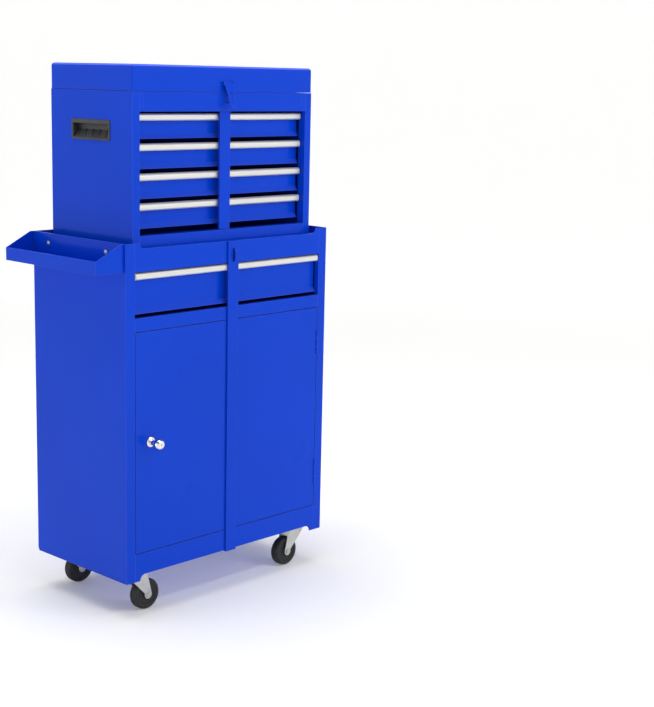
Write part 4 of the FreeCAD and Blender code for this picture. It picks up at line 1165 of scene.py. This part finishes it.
class CHEST_OT_stage(bpy.types.Operator):
    """Floor, camera and lights"""

    bl_idname = "chest.stage"
    bl_label = "Stage"

    def execute(self, context):
        stage_camera()
        stage_floor()
        stage_lights()
        return {"FINISHED"}


class CHEST_OT_sheet(bpy.types.Operator):
    """Paint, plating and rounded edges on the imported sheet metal, slides and hooks"""

    bl_idname = "chest.sheet"
    bl_label = "Sheet metal"

    def execute(self, context):
        dress_frame()
        return {"FINISHED"}


class CHEST_OT_seams(bpy.types.Operator):
    """Welded seams in the top chest's front"""

    bl_idname = "chest.seams"
    bl_label = "Seams"

    def execute(self, context):
        fascia_seams()
        return {"FINISHED"}


class CHEST_OT_lid(bpy.types.Operator):
    """Lid with rolled edges and its end plates"""

    bl_idname = "chest.lid"
    bl_label = "Lid"

    def execute(self, context):
        lid_cover()
        return {"FINISHED"}


class CHEST_OT_handles(bpy.types.Operator):
    """Extruded drawer handles with end caps"""

    bl_idname = "chest.handles"
    bl_label = "Drawer handles"

    def execute(self, context):
        for name in DRAWERS:
            handle(name)
        return {"FINISHED"}


class CHEST_OT_slides(bpy.types.Operator):
    """Rivets on the drawer slides"""

    bl_idname = "chest.slides"
    bl_label = "Slide rivets"

    def execute(self, context):
        for name in DRAWERS:
            slide_rivets(name)
        return {"FINISHED"}


class CHEST_OT_mat(bpy.types.Operator):
    """Ribbed rubber mat in the worktop"""

    bl_idname = "chest.mat"
    bl_label = "Worktop mat"

    def execute(self, context):
        ribbed_mat()
        return {"FINISHED"}


class CHEST_OT_grips(bpy.types.Operator):
    """Moulded carrying grips of the top chest"""

    bl_idname = "chest.grips"
    bl_label = "Carrying grips"

    def execute(self, context):
        grip(-1, "left")
        grip(1, "right")
        return {"FINISHED"}


class CHEST_OT_knob(bpy.types.Operator):
    """Door knob with its barrel and cam"""

    bl_idname = "chest.knob"
    bl_label = "Door knob"

    def execute(self, context):
        door_knob()
        return {"FINISHED"}


class CHEST_OT_fasteners(bpy.types.Operator):
    """Tray screws and the casters' nuts"""

    bl_idname = "chest.fasteners"
    bl_label = "Screws and nuts"

    def execute(self, context):
        cabinet_fasteners()
        return {"FINISHED"}


class CHEST_OT_casters(bpy.types.Operator):
    """Wheels, forks, axles and brake tabs"""

    bl_idname = "chest.casters"
    bl_label = "Casters"

    def execute(self, context):
        for name in CASTERS:
            wheel(name)
            fork(name)
            if name.startswith("front"):
                brake(name)
        return {"FINISHED"}


STEPS = (CHEST_OT_stage, CHEST_OT_sheet, CHEST_OT_seams, CHEST_OT_lid,
         CHEST_OT_handles, CHEST_OT_slides, CHEST_OT_mat, CHEST_OT_grips, CHEST_OT_knob,
         CHEST_OT_fasteners, CHEST_OT_casters)


class CHEST_PT_panel(bpy.types.Panel):
    """The chest's pieces, in the order they are made"""

    bl_label = "Tool Chest"
    bl_idname = "CHEST_PT_panel"
    bl_space_type = "VIEW_3D"
    bl_region_type = "UI"
    bl_category = "Tool Chest"

    def draw(self, context):
        for group in (context.scene.chest_colours, context.scene.chest_sizes,
                      context.scene.chest_stage):
            box = self.layout.box()
            for name in group.__annotations__:
                box.prop(group, name)
        for step in STEPS:
            self.layout.operator(step.bl_idname, text=step.bl_label)


CLASSES = (ChestColours, ChestSizes, StageSettings, *STEPS, CHEST_PT_panel)


def register():
    for item in CLASSES:
        bpy.utils.register_class(item)
    bpy.types.Scene.chest_colours = bpy.props.PointerProperty(type=ChestColours)
    bpy.types.Scene.chest_sizes = bpy.props.PointerProperty(type=ChestSizes)
    bpy.types.Scene.chest_stage = bpy.props.PointerProperty(type=StageSettings)


def unregister():
    del bpy.types.Scene.chest_stage
    del bpy.types.Scene.chest_sizes
    del bpy.types.Scene.chest_colours
    for item in reversed(CLASSES):
        bpy.utils.unregister_class(item)


def main():
    register()
    bpy.ops.chest.stage()
    bpy.ops.chest.sheet()
    bpy.ops.chest.seams()
    bpy.ops.chest.lid()
    bpy.ops.chest.handles()
    bpy.ops.chest.slides()
    bpy.ops.chest.mat()
    bpy.ops.chest.grips()
    bpy.ops.chest.knob()
    bpy.ops.chest.fasteners()
    bpy.ops.chest.casters()
    bpy.context.view_layer.update()


if __name__ == "__main__":
    main()
